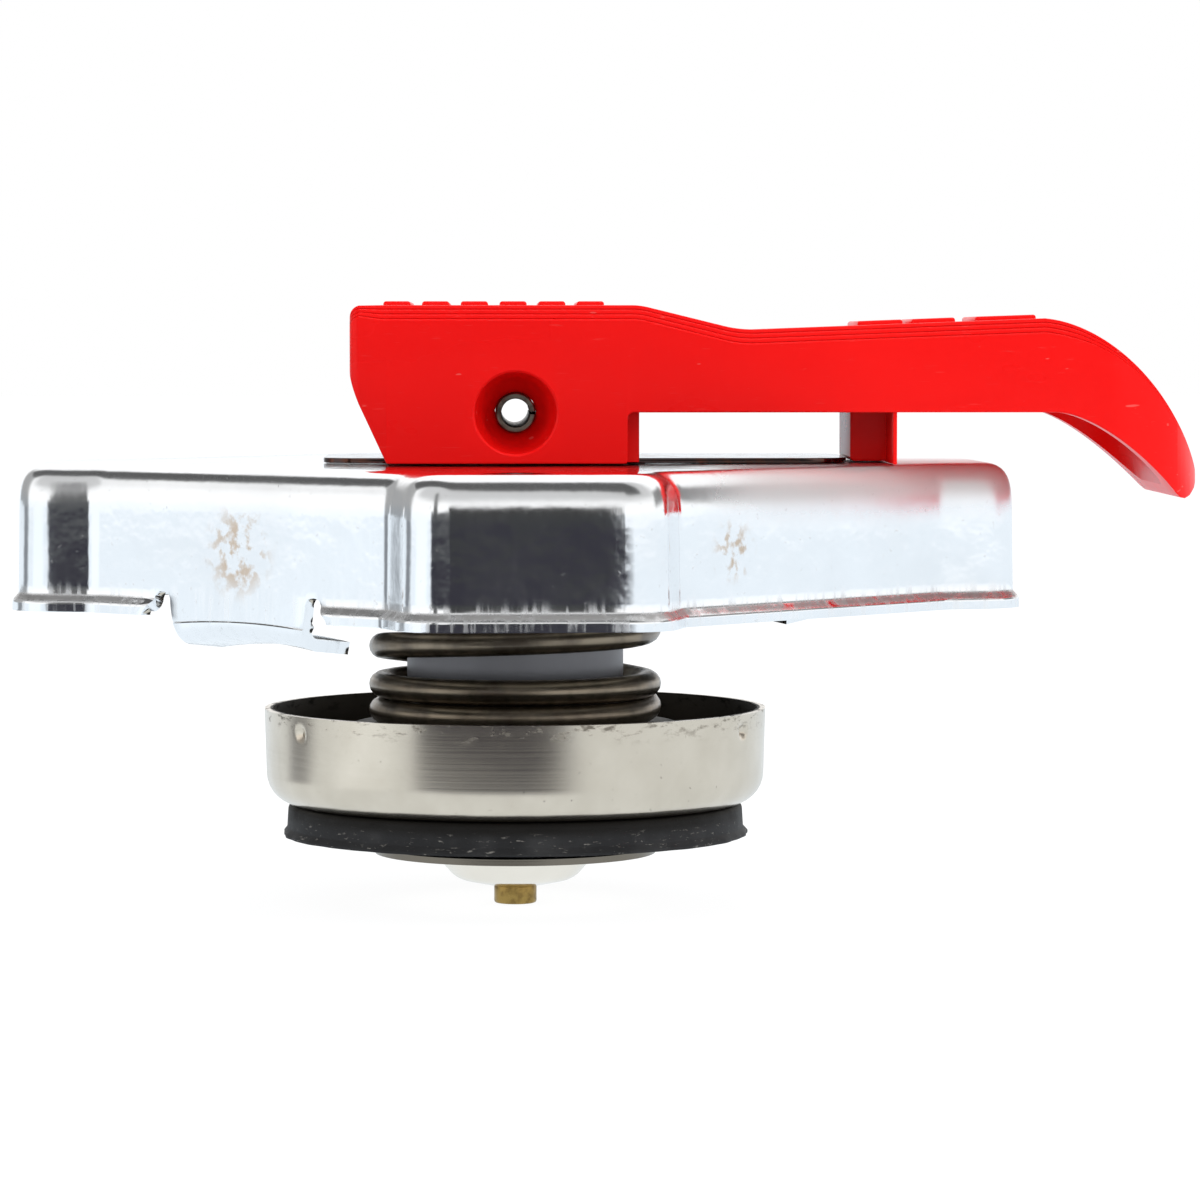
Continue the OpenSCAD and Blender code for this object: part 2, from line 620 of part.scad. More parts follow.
// Moulded lever: a hollow heel with cam feet, a front wall and pin bosses, a beam on a prop leg, a curled end
module lever() {
    leg_low = leg_z - pin_z;
    leg_top = beam_rise - lever_wall / 2;
    cross_half = lever_half_w - band_in;
    notch_half_w = strip_half_w + move_gap;
    front_low = strip_top_z + foot_gap - pin_z;
    front_half = lever_in + seat_gap;
    color("red") translate([0, 0, pin_z]) difference() {
        union() {
            difference() {
                union() {
                    across_lever(0) lever_side(band_h);
                    across_lever(band_in) lever_side(0);
                    grip_ribs();
                }
                across_lever(lever_wall) lever_hollow_side();
                translate([-heel_back - past, -notch_half_w, -pin_height - past])
                    cube([lever_wall + 2 * past, 2 * notch_half_w, pin_height + past - move_gap]);
            }
            for (side = [-1, 1])
                translate([0, side * boss_in, 0]) rotate([-90 * side, 0, 0])
                    cylinder(r = boss_r, h = lever_in - boss_in + seat_gap);
            translate([foot_front, -front_half, front_low])
                cube([rib_t, 2 * front_half, heel_rise - lever_wall / 2 - front_low]);
            translate([leg_front - rib_t, -cross_half, leg_low])
                cube([rib_t, 2 * cross_half, leg_top - leg_low]);
            translate([leg_front - leg_len, -leg_w / 2, leg_low])
                cube([leg_len, leg_w, leg_top - leg_low]);
        }
        rotate([90, 0, 0]) cylinder(r = cheek_bore_r, h = lever_w + past, center = true);
        for (side = [-1, 1])
            translate([0, side * pin_half_len, 0]) rotate([-90 * side, 0, 0])
                cylinder(r1 = cheek_bore_r, r2 = dish_r, h = dish_depth);
    }
}

// Hollow spring pin, rolled from strip, with its slot towards the back of the heel
module roll_pin() {
    color("gray") translate([0, 0, pin_z]) rotate([90, 0, 0]) difference() {
        cylinder(r = pin_r, h = 2 * pin_half_len, center = true);
        cylinder(r = pin_r - pin_wall, h = 2 * pin_half_len + past, center = true);
        translate([-pin_r, 0, 0])
            cube([2 * pin_wall + past, pin_slot, 2 * pin_half_len + past], center = true);
    }
}

// A coil of round wire: knots give the height of the wire's middle at each count of turns
module coil(mean_r, wire_r, knots, start, sides, rings_a_turn) {
    turns = knots[len(knots) - 1][0];
    n = ceil(turns * rings_a_turn);
    points = [for (i = [0 : n]) for (j = [0 : sides - 1])
        let (t = turns * i / n, a = start + 360 * t, q = 360 * j / sides, r = mean_r + wire_r * cos(q))
        [r * cos(a), r * sin(a), lookup(t, knots) + wire_r * sin(q)]];
    wall = [for (i = [0 : n - 1]) for (j = [0 : sides - 1])
        let (k = (j + 1) % sides, p = i * sides, q = (i + 1) * sides)
        each [[p + j, p + k, q + k], [p + j, q + k, q + j]]];
    first = [for (j = [sides - 1 : -1 : 0]) j];
    last = [for (j = [0 : sides - 1]) n * sides + j];
    polyhedron(points = points, faces = concat(wall, [first, last]), convexity = 10);
}

// Right-hand coil with one closed turn at each end, from the cup's platform up to the diaphragm
module pressure_spring() {
    closed = wire_d + seat_gap;
    low = platform_z + seat_gap + wire_d / 2;
    high = diaphragm_mid_z - seat_gap - wire_d / 2;
    knots = [[0, low], [1, low + closed], [1 + active_turns, high - closed], [2 + active_turns, high]];
    color("darkgoldenrod") coil((spring_d - wire_d) / 2, wire_d / 2, knots, -90, 10, 24);
}

// Pressed cup: a tapered wall, a floor that backs the seal and a raised platform for the spring
module valve_cup() {
    under_r = platform_r - cup_t;
    under_z = platform_z - cup_t;
    path = [[cup_r, cup_rim_z], [cup_r - cup_taper, cup_z], [under_r, cup_z], [under_r, under_z],
        [post_r + seat_gap, under_z]];
    color("lightgray") difference() {
        rotate_extrude() polygon(bent_sheet(path, [cup_bend_r, platform_bend_r, platform_edge_r], cup_t));
        for (i = [0 : 2])
            rotate([0, 0, dimple_angle + 120 * i])
                translate([cup_r + dimple_r / 2, 0, cup_rim_z - 2 * dimple_r]) sphere(r = dimple_r);
    }
}

// Moulded rubber: a ring with a flared lip, a bead and a relief for the vacuum disc, a hub in the platform
module pressure_seal() {
    hole_r = post_r + seat_gap;
    hub_r = platform_r - cup_t - 3 * seat_gap;
    hub_z = platform_z - cup_t - seat_gap;
    soft = 2 * platform_edge_r;
    lip_r = seal_r + seal_lip;
    relief_r = disc_r + move_gap;
    relief_z = seal_z + move_gap;
    color("#303030") rotate_extrude() polygon(concat(
        [[hole_r, seal_z], [bead_mid_r - bead_half_w, seal_z],
            [bead_mid_r - bead_half_w / 2, seal_z - bead_h], [bead_mid_r + bead_half_w / 2, seal_z - bead_h],
            [bead_mid_r + bead_half_w, seal_z], [bead_mid_r + bead_half_w, relief_z], [relief_r, relief_z],
            [relief_r, seal_z], [lip_r, seal_z], [lip_r, seal_z + seal_lip], [seal_r, seal_z + 2 * seal_lip]],
        corner_arc([seal_r, seal_z], [seal_r, seal_top_z], [hub_r, seal_top_z], soft, bend_steps),
        [[hub_r, seal_top_z], [hub_r, hub_z - soft], [hub_r - soft, hub_z], [hole_r, hub_z]]));
}

// Tubular rivet: a flange under the seal, a collar over the platform and a head that hangs on the hook
module valve_post() {
    low = seal_z - seat_gap;
    collar_z = platform_z + seat_gap;
    color("darkgray") difference() {
        rotate_extrude() polygon([
            [post_bore_r, low - post_flange_t], [post_flange_r, low - post_flange_t], [post_flange_r, low],
            [post_r, low], [post_r, collar_z], [post_flange_r, collar_z],
            [post_flange_r, collar_z + collar_t], [post_neck_r, collar_z + collar_t],
            [post_neck_r, post_head_z], [post_head_r, post_head_z],
            [post_head_r, post_top_z], [post_bore_r, post_top_z]]);
        translate([0, 0, (collar_z + collar_t + post_head_z) / 2])
            for (a = [0, 90])
                rotate([90, 0, a]) cylinder(r = flow_hole_r, h = 3 * post_neck_r, center = true);
    }
}

// Thin pressed disc with a domed middle that clears the post's flange
module vacuum_disc() {
    flat_z = disc_top_z - disc_t;
    path = [[disc_r, flat_z], [dome_r, flat_z], [0.72 * dome_r, dome_z + 0.2 * dome_h],
        [brass_r + disc_t, dome_z], [brass_shank_r + seat_gap, dome_z]];
    color("whitesmoke") rotate_extrude() polygon(bent_sheet(path, [1, 2 * disc_t + 1, 1], disc_t));
}

// Brass pin with a shoulder under the dome and a riveted end over the keeper
module vacuum_pin() {
    shoulder_z = dome_z - seat_gap;
    low = shoulder_z - brass_out;
    bevel = brass_r / 8;
    rivet_r = brass_shank_r + rivet_h;
    keeper_top_z = rivet_z + seat_gap;
    color("goldenrod") rotate_extrude() polygon([
        [0, low], [brass_r - bevel, low], [brass_r, low + bevel], [brass_r, shoulder_z],
        [brass_shank_r, shoulder_z], [brass_shank_r, keeper_top_z], [rivet_r, keeper_top_z],
        [rivet_r, rivet_z + rivet_h], [0, rivet_z + rivet_h]]);
}

module vacuum_keeper() {
    color("darkgray") translate([0, 0, keeper_z]) difference() {
        cylinder(r = keeper_r, h = keeper_t);
        translate([0, 0, -past]) cylinder(r = brass_shank_r + seat_gap, h = keeper_t + 2 * past);
    }
}

module vacuum_spring() {
    low = post_top_z + seat_gap + vacuum_wire_d / 2;
    high = keeper_z - seat_gap - vacuum_wire_d / 2;
    knots = [[0, low], [vacuum_turns, high]];
    color("silver") coil((post_bore_r + keeper_r) / 2, vacuum_wire_d / 2, knots, 0, 6, 16);
}

shell();
centre_bushing();
stem_seal();
neck_diaphragm();
neck_gasket();
guide_strip();
stem();
lever();
roll_pin();
pressure_spring();
valve_cup();
pressure_seal();
valve_post();
vacuum_disc();
vacuum_pin();
vacuum_keeper();
vacuum_spring();
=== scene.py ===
import math

import bmesh
import bpy
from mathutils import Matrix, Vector


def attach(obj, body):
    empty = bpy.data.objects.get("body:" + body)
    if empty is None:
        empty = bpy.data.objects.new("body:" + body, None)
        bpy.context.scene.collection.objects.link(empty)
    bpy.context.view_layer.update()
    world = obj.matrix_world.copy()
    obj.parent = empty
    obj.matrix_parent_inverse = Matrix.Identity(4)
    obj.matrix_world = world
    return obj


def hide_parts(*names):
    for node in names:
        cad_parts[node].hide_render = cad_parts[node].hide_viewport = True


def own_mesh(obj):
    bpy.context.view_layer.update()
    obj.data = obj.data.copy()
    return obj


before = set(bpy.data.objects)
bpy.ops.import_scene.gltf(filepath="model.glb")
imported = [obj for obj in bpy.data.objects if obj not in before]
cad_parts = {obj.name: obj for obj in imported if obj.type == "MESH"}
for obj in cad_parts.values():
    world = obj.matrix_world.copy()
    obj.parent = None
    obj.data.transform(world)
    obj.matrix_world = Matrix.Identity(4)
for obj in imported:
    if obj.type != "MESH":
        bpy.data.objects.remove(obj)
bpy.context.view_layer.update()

# SHELL
# One pressing of sheet steel, bright plated: four lobes joined by diagonal flats, with a rounded top edge
# and a flared lip. Two cam tabs are bent in under the lip, each between a pair of relief notches.

MM = 0.001


def swung(v, angle):
    return Vector((v.x * math.cos(angle) - v.y * math.sin(angle), v.x * math.sin(angle) + v.y * math.cos(angle)))


def corner(before, point, after, radius, steps):
    """Places and outward normals along the arc that rounds a corner of an anticlockwise outline."""
    u = (point - before).normalized()
    v = (after - point).normalized()
    turn = math.atan2(u.x * v.y - u.y * v.x, u.dot(v))
    side = math.copysign(1, turn)
    right = Vector((u.y, -u.x))
    centre = point - radius * math.tan(abs(turn) / 2) * u - radius * side * right
    normals = [swung(right, turn * i / steps) for i in range(steps + 1)]
    return [(centre + radius * side * n, n) for n in normals]


def spread(low, high, count):
    """Evenly spaced numbers from low to high, both included."""
    return [low + (high - low) * i / (count - 1) for i in range(count)]


def smooth(low, high, x):
    t = min(1, max(0, (x - low) / (high - low)))
    return t * t * (3 - 2 * t)


class Value:
    """A socket of a material's nodes. Sums and products of values add the Math nodes."""

    def __init__(self, tree, socket=None):
        self.tree = tree
        self.socket = socket

    def node(self, kind, settings, sockets, output=0):
        """Adds a node, sets it up, feeds its sockets, and gives one of its outputs."""
        node = self.tree.nodes.new("ShaderNode" + kind)
        for key, value in settings.items():
            setattr(node, key, value)
        for key, value in sockets.items():
            if isinstance(value, Value):
                self.tree.links.new(value.socket, node.inputs[key])
            else:
                node.inputs[key].default_value = value
        return Value(self.tree, node.outputs[output])

    def math(self, operation, first, second=0.0):
        return self.node("Math", {"operation": operation}, {0: first, 1: second})

    def __add__(self, other):
        return self.math("ADD", self, other)

    def __radd__(self, other):
        return self.math("ADD", other, self)

    def __sub__(self, other):
        return self.math("SUBTRACT", self, other)

    def __rsub__(self, other):
        return self.math("SUBTRACT", other, self)

    def __mul__(self, other):
        return self.math("MULTIPLY", self, other)

    def rise(self, low, high):
        """0 below low, 1 above high, smooth between them."""
        sockets = {"Value": self, "From Min": low, "From Max": high}
        return self.node("MapRange", {"interpolation_type": "SMOOTHSTEP"}, sockets)

    def fall(self, low, high):
        return 1 - self.rise(low, high)

    def band(self, start, low, high, end):
        """1 from low to high, 0 before start and after end."""
        return self.rise(start, low) * self.fall(high, end)

    def blend(self, none, full):
        """A colour between two, by this value."""
        colours = [c if isinstance(c, Value) else (*c, 1) for c in (none, full)]
        return self.node("Mix", {"data_type": "RGBA"}, {0: self, 6: colours[0], 7: colours[1]}, 2)

    def axis(self, name):
        return self.node("SeparateXYZ", {}, {0: self}, "XYZ".index(name))

    def stretched(self, factors):
        return self.node("VectorMath", {"operation": "MULTIPLY"}, {0: self, 1: factors})

    def distance(self, point):
        return self.node("VectorMath", {"operation": "DISTANCE"}, {0: self, 1: point}, 1)

    def noise(self, size, detail=2.0, roughness=0.5):
        """Cloudy noise from 0 to 1, with spots of about this size in millimetres."""
        sockets = {"Vector": self, "Scale": 1 / size, "Detail": detail, "Roughness": roughness}
        return self.node("TexNoise", {}, sockets)

    def bump(self, height, normal=None):
        """A surface normal from a height in millimetres."""
        sockets = {"Height": self, "Distance": height * MM, "Strength": 1.0}
        if normal:
            sockets["Normal"] = normal
        return self.node("Bump", {}, sockets)


def finish(name, fixed):
    """A new material with its fixed values, its shader, and the place on the piece in millimetres."""
    material = bpy.data.materials.new(name)
    material.use_nodes = True
    shader = material.node_tree.nodes["Principled BSDF"]
    for key, value in fixed.items():
        shader.inputs[key].default_value = value
    place = Value(material.node_tree).node("TexCoord", {}, {}, 3)
    millimetres = place.node("VectorMath", {"operation": "SCALE"}, {0: place, "Scale": 1 / MM})
    return material, shader, millimetres


def feed(shader, sockets):
    """Links the values that change over the surface."""
    for key, value in sockets.items():
        value.tree.links.new(value.socket, shader.inputs[key])


def turn_outward(mesh):
    """Joins points that coincide and turns all faces outward."""
    shape = bmesh.new()
    shape.from_mesh(mesh)
    bmesh.ops.remove_doubles(shape, verts=shape.verts, dist=1e-8)
    bmesh.ops.recalc_face_normals(shape, faces=shape.faces)
    shape.to_mesh(mesh)
    shape.free()


def solid(name, points, faces):
    """A new mesh object from points in millimetres."""
    mesh = bpy.data.meshes.new(name)
    mesh.from_pydata([Vector(p) * MM for p in points], [], faces)
    turn_outward(mesh)
    obj = bpy.data.objects.new(name, mesh)
    bpy.context.scene.collection.objects.link(obj)
    return obj


def settle(obj):
    """Makes the piece's modifiers final."""
    graph = bpy.context.evaluated_depsgraph_get()
    mesh = bpy.data.meshes.new_from_object(obj.evaluated_get(graph))
    obj.modifiers.clear()
    obj.data = mesh


def fit(obj, material, body, slot, *nodes, crease=35):
    """Finishes a piece: closed outward faces, smooth shading up to a crease, its material and its place."""
    turn_outward(obj.data)
    obj.data.shade_smooth()
    obj.data.set_sharp_from_angle(angle=math.radians(crease))
    obj.data.materials.clear()
    obj.data.materials.append(material)
    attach(obj, body)
    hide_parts(*nodes)


LOBE_REACH, LOBE_HALF_W, LOBE_ROOT, FLAT_REACH = 34.9, 8.0, 29.5, 27.6
LOBE_CORNER, ROOT_CORNER, SHEET = 3.2, 2.5, 0.85
SHELL_TOP, LIP_Z, SHELL_TURN = 4.35, -5.8, math.radians(2.2)
EDGE = [(1.82, 0), (1.45, 0.05), (1.1, 0.17), (0.75, 0.39), (0.53, 0.62), (0.35, 0.9), (0.23, 1.18), (0.14, 1.5),
        (0.075, 1.85), (0.035, 2.2), (0.01, 2.6), (0, 3.0)]
TAB_HALF_W, NOTCH_HALF_W, NOTCH_RISE, NOTCH_Z = 6.5, 0.75, 0.45, -4.55
TAB_Z, TAB_REACH, TAB_DIP, TAB_BEND, TAB_ARCH = -7.6, 4.5, 0.5, 1.7, 0.45
SEAT = [(6.43, 3.8), (9.5, 3.8), (9.75, 3.9), (9.95, 4.25), (10.2, SHELL_TOP)]
TOP_STEPS, WALL_STEPS, LIP_STEPS = 5, 10, 17

root_half_w = FLAT_REACH * math.sqrt(2) - LOBE_ROOT
lobe = [(LOBE_ROOT, -root_half_w), (LOBE_REACH, -LOBE_HALF_W), (LOBE_REACH, LOBE_HALF_W), (LOBE_ROOT, root_half_w)]
plan_corners = [swung(Vector(p), math.radians(90 * i)) for i in range(4) for p in lobe]
notch_mid = TAB_HALF_W + NOTCH_HALF_W
notch_out = TAB_HALF_W + 2 * NOTCH_HALF_W

# Columns round the plan: place, outward normal, and the distance along a tabbed flat from its middle
columns = []
for i, point in enumerate(plan_corners):
    radius = ROOT_CORNER if i % 4 in (0, 3) else LOBE_CORNER
    after = plan_corners[(i + 1) % 16]
    bend = corner(plan_corners[i - 1], point, after, radius, 8)
    next_radius = ROOT_CORNER if (i + 1) % 4 in (0, 3) else LOBE_CORNER
    next_bend = corner(point, after, plan_corners[(i + 2) % 16], next_radius, 8)
    columns += [(p, n, None) for p, n in bend]
    start, end, normal = bend[-1][0], next_bend[0][0], bend[-1][1]
    if i % 4 == 3:
        half = (end - start).length / 2
        side = spread(TAB_HALF_W, notch_out, 9) + spread(notch_out, half, 8)[1:]
        along = [-a for a in side[::-1]] + spread(-TAB_HALF_W, TAB_HALF_W, 15)[1:-1] + side
        middle, ahead = (start + end) / 2, (end - start).normalized()
        tabbed = i in (3, 11)
        columns += [(middle + a * ahead, normal, a if tabbed else None) for a in along[1:-1]]
    else:
        count = 9 if i % 4 == 1 else 4
        columns += [(start.lerp(end, k / count), normal, None) for k in range(1, count)]


def lip_out(z):
    """How far the wall leans out at a height, with the flare of the lip."""
    return 0.016 * (1.35 - z) + 0.42 * smooth(-4.55, -5.2, z)


def shell_column(place, normal, along):
    """Points of the outer face from the hole in the top down to the lip or to the end of a tab."""
    outward = place.normalized()
    edge = place - EDGE[0][0] * normal
    points = [(*(outward * r), z) for r, z in SEAT]
    points += [(*(outward * SEAT[-1][0]).lerp(edge, t), SHELL_TOP) for t in spread(0, 1, TOP_STEPS + 1)[1:]]
    points += [(*(place - inward * normal), SHELL_TOP - down) for inward, down in EDGE[1:]]
    reach = abs(along) if along is not None else math.inf
    tab = reach < TAB_HALF_W + 1e-4
    notch = not tab and reach < notch_out - 1e-4
    low = NOTCH_Z
    if notch:
        low += NOTCH_RISE * math.sqrt(max(0, 1 - ((reach - notch_mid) / NOTCH_HALF_W) ** 2))
    for z in spread(SHELL_TOP - EDGE[-1][1], low, WALL_STEPS + 1)[1:]:
        points.append((*(place + lip_out(z) * normal), z))
    if notch:
        return points, None
    ahead = Vector((-normal.y, normal.x))
    if tab:
        arch = TAB_ARCH * (1 - (along / TAB_HALF_W) ** 2)
        bend = corner(Vector((0, low)), Vector((0, TAB_Z)), Vector((-TAB_REACH, TAB_Z - TAB_DIP)), TAB_BEND, 10)
        path = [Vector((0, z)) for z in spread(low, bend[0][0].y, 5)[1:]]
        path += [path[-1] + Vector((-0.07, -0.1)), path[-1] + Vector((0.01, -0.22))] + [p for p, _ in bend[2:]]
        path += [bend[-1][0].lerp(Vector((-TAB_REACH, TAB_Z - TAB_DIP)), t) for t in (0.4, 0.8, 1)]
        for p in path:
            fade = smooth(low, TAB_Z, p.y)
            side = place - ahead * along * 0.07 * fade
            points.append((*(side + (lip_out(low) + p.x) * normal), p.y + arch * fade))
        return points, "tab"
    lean = math.copysign(max(0, 1 - (reach - notch_out) / 3), along) if along is not None else 0
    for z in spread(low, LIP_Z, LIP_STEPS + 1)[1:]:
        side = place + ahead * lean * 0.9 * smooth(low, LIP_Z, z)
        points.append((*(side + lip_out(z) * normal), z))
    return points, "lip"


made = [shell_column(*column) for column in columns]
shell_points, starts = [], []
for points, _ in made:
    starts.append(len(shell_points))
    for x, y, z in points:
        p = swung(Vector((x, y)), SHELL_TURN)
        shell_points.append((p.x, p.y, z))
wall_rows = len(SEAT) + TOP_STEPS + len(EDGE) - 1 + WALL_STEPS
shell_faces = []
for j, (points, kind) in enumerate(made):
    k = (j + 1) % len(made)
    joined = kind is not None and kind == made[k][1]
    rows = len(points) if joined else wall_rows
    for r in range(rows - 1):
        a, b = starts[j] + r, starts[k] + r
        shell_faces.append((a, a + 1, b + 1, b))

shell = solid("shell_pressing", shell_points, shell_faces)
thicken = shell.modifiers.new("sheet", "SOLIDIFY")
thicken.thickness = SHEET * MM
thicken.offset = -1
thicken.use_even_offset = True
soften = shell.modifiers.new("cut_edges", "BEVEL")
soften.width = 0.12 * MM
soften.segments = 2
soften.limit_method = "ANGLE"
soften.angle_limit = math.radians(60)
settle(shell)

plating, shader, place = finish("bright_plating", {"IOR": 1.5})
smudge = place.noise(7.0, 3).rise(0.35, 0.75)
grain = place.stretched((1, 1, 0.18)).noise(0.35, 2)
speck = place.noise(0.45, 3).rise(0.66, 0.76)
stain = place.distance((-18.6, -20.3, -1.2)).fall(1.4, 3.8) + place.distance((14.4, -25.0, -1.0)).fall(0.8, 2.6)
stain = stain * place.noise(1.1, 3).rise(0.47, 0.62)
high = place.axis("Z")
frosted = place.axis("X").rise(10, 18) * high.rise(-0.5, 2.0)
# Painted reflection: the rounded top edge on the right side is made greyer and less mirror-like, so that it shows
# a dull grey in place of the lever's mirrored red.
dulled = frosted * high.band(1.4, 2.8, 4.22, 4.34)
scuffed = high.fall(-4.6, -3.4) * place.stretched((1, 1, 0.1)).noise(0.5, 2).rise(0.45, 0.65)
rounding = high.band(1.8, 2.8, 4.2, 4.34)
# The fold where the lip flares out is made darker, duller and rougher in patches.
crease = high.band(-5.2, -4.9, -4.75, -4.45) * place.noise(1.6, 3).rise(0.25, 0.5)
crease = crease * place.math("ABSOLUTE", place.axis("X") - place.axis("Y")).rise(11, 12)
blotch = smudge.blend((0.93, 0.94, 0.95), (0.88, 0.89, 0.90))
stained = (stain * 0.7).blend(blotch, (0.52, 0.35, 0.20))
marked = (speck * 0.25).blend((dulled * 0.6).blend(stained, (0.45, 0.44, 0.43)), (0.5, 0.48, 0.46))
ripple = place.noise(1.6, 2).bump(0.02, place.noise(5.0, 1).bump(0.035))
feed(shader, {
    "Base Color": (crease * 0.85).blend(marked, (0.24, 0.23, 0.225)),
    "Metallic": 1 - dulled * 0.45 - crease * 0.5,
    "Roughness": (0.05 + smudge * 0.04 + stain * 0.15 + speck * 0.12 + grain * 0.06 + scuffed * 0.2
                  + rounding * 0.09 + frosted * 0.22 + crease * 0.2),
    "Normal": (grain * 0.35 + speck * 0.3).bump(0.004, ripple),
})
fit(shell, plating, "shell", "plated_steel", "shell")

# CENTRE BUSHING, STEM RING, DIAPHRAGM AND NECK GASKET
# A turned steel eyelet is crimped through the shell's hole. It clamps the dished spring-steel diaphragm and
# holds a rubber ring against the stem. The moulded rubber gasket lies under the diaphragm's rim.


def rounded(points, radii, steps=6):
    """A closed outline with its corners rounded: one radius for all of them, or a list."""
    points = [Vector(p) for p in points]
    n = len(points)
    radii = [radii] * n if isinstance(radii, (int, float)) else radii
    out = []
    for i, p in enumerate(points):
        if radii[i] == 0:
            out.append(p)
        else:
            out += [q for q, _ in corner(points[i - 1], p, points[(i + 1) % n], radii[i], steps)]
    return out


def circle(x, z, radius, steps):
    """Points round a circle."""
    return [(x + radius * math.cos(a), z + radius * math.sin(a)) for a in spread(0, 2 * math.pi, steps + 1)[:-1]]


def sheet_outline(path, radii, thickness):
    """The section of a bent sheet that lies on the right of an open path."""
    path = [Vector(p) for p in path]
    sides = []
    for d in (0, thickness):
        moved = []
        for i, p in enumerate(path):
            u = (p - path[i - 1]).normalized() if i else None
            v = (path[i + 1] - p).normalized() if i + 1 < len(path) else None
            normals = [Vector((w.y, -w.x)) for w in (u, v) if w]
            bisector = sum(normals, Vector((0, 0)))
            moved.append(p + d * bisector / (1 + normals[0].dot(normals[-1])) * (1 if len(normals) == 2 else 2))
        side = [moved[0]]
        for i in range(1, len(path) - 1):
            u, v = path[i] - path[i - 1], path[i + 1] - path[i]
            radius = radii[i - 1] + d * math.copysign(1, u.x * v.y - u.y * v.x)
            side += [q for q, _ in corner(moved[i - 1], moved[i], moved[i + 1], radius, 8)]
        sides.append(side + [moved[-1]])
    return sides[0] + sides[1][::-1]


def revolved(name, outline, steps=128):
    """A closed outline of radius and height, turned round the axis."""
    points, faces, starts = [], [], []
    for r, z in outline:
        starts.append(len(points))
        count = steps if r > 1e-6 else 1
        for j in range(count):
            angle = 2 * math.pi * j / steps
            points.append((r * math.cos(angle), r * math.sin(angle), z))
    for i in range(len(outline)):
        k = (i + 1) % len(outline)
        a, b = starts[i], starts[k]
        hub_a, hub_b = outline[i][0] <= 1e-6, outline[k][0] <= 1e-6
        for j in range(steps):
            m = (j + 1) % steps
            if hub_a and hub_b:
                continue
            if hub_a:
                faces.append((a, b + m, b + j))
            elif hub_b:
                faces.append((a + j, a + m, b))
            else:
                faces.append((a + j, a + m, b + m, b + j))
    return solid(name, points, faces)


bushing_line = [(5.05, 0.24), (8.2, 0.24), (8.2, 2.44), (6.4, 2.44), (6.4, 3.83), (9.4, 3.83), (9.4, 4.38),
                (5.05, 4.38), (5.05, 2.09), (6.55, 2.09), (6.55, 0.59), (5.05, 0.59)]
bushing = revolved("bushing_eyelet", rounded(bushing_line, [0, 0.2, 0.2, 0, 0, 0.15, 0.15, 0.3, 0, 0, 0, 0], 3))
stem_ring = revolved("stem_ring", circle(5.77, 1.34, 0.72, 24), 96)
diaphragm_path = [(25.5, 1.63), (19.4, 1.63), (11.2, 2.47), (6.43, 2.47)]
diaphragm = revolved("diaphragm_disc", sheet_outline(diaphragm_path, [6, 6], 0.45), 160)
gasket = revolved("gasket_ring", rounded([(19.4, 0), (25.2, 0), (25.2, 1.6), (19.4, 1.6)], 0.4), 160)


def around(place):
    """The place with its distance round the axis in place of x, for marks that run round a turned piece."""
    x, y, z = place.axis("X"), place.axis("Y"), place.axis("Z")
    angle = place.math("ARCTAN2", y, x)
    radius = place.math("SQRT", x * x + y * y)
    return place.node("CombineXYZ", {}, {0: angle * 2.0, 1: radius, 2: z})


pressed_steel, shader, place = finish("pressed_stainless", {"Metallic": 1.0, "Anisotropic": 0.4})
ring = around(place)
brushed = ring.stretched((0.25, 9, 9)).noise(1.0, 3)
cloud = place.noise(4.0, 3)
dirt = place.noise(0.45, 3).rise(0.68, 0.8)
tone = cloud.blend((0.66, 0.63, 0.58), (0.55, 0.52, 0.47))
feed(shader, {
    "Base Color": (dirt * 0.5).blend(tone, (0.3, 0.27, 0.23)),
    "Roughness": 0.2 + brushed * 0.14 + cloud * 0.06 + dirt * 0.2,
    "Normal": (brushed * 0.6 + dirt * 0.3).bump(0.006),
})

rubber, shader, place = finish("black_rubber", {"Specular IOR Level": 0.18})
pores = place.noise(0.16, 3)
dust = around(place).stretched((2.5, 1, 1)).noise(0.24, 4, 0.7).rise(0.59, 0.7)
haze = place.noise(3.0, 4).rise(0.4, 0.8)
tone = haze.blend((0.018, 0.018, 0.019), (0.04, 0.04, 0.041))
# Painted shade: above the seal's upper edge, where the cup shades it, the rubber is made near black; the stem ring
# and gasket, higher up, are near black all over.
shade_under_cup = place.axis("Z").rise(-21.3, -20.5)
tone = shade_under_cup.blend((dust * 0.75).blend(tone, (0.3, 0.285, 0.26)), (0.008, 0.007, 0.006))
feed(shader, {
    "Base Color": tone,
    "Roughness": 0.5 + haze * 0.2 + pores * 0.1,
    "Normal": (pores * 0.5 + dust * 0.8).bump(0.03),
})
fit(bushing, pressed_steel, "shell", "stainless", "centre_bushing")
fit(stem_ring, rubber, "shell", "black_rubber", "stem_seal")
fit(diaphragm, pressed_steel, "shell", "stainless", "neck_diaphragm")
fit(gasket, rubber, "shell", "black_rubber", "neck_gasket")

# GUIDE STRIP
# A strip of dark spring steel with a hole for the stem's neck. It lies on the eyelet between the lever's cheeks
# and turns with them. Its cut edges have gone brown.

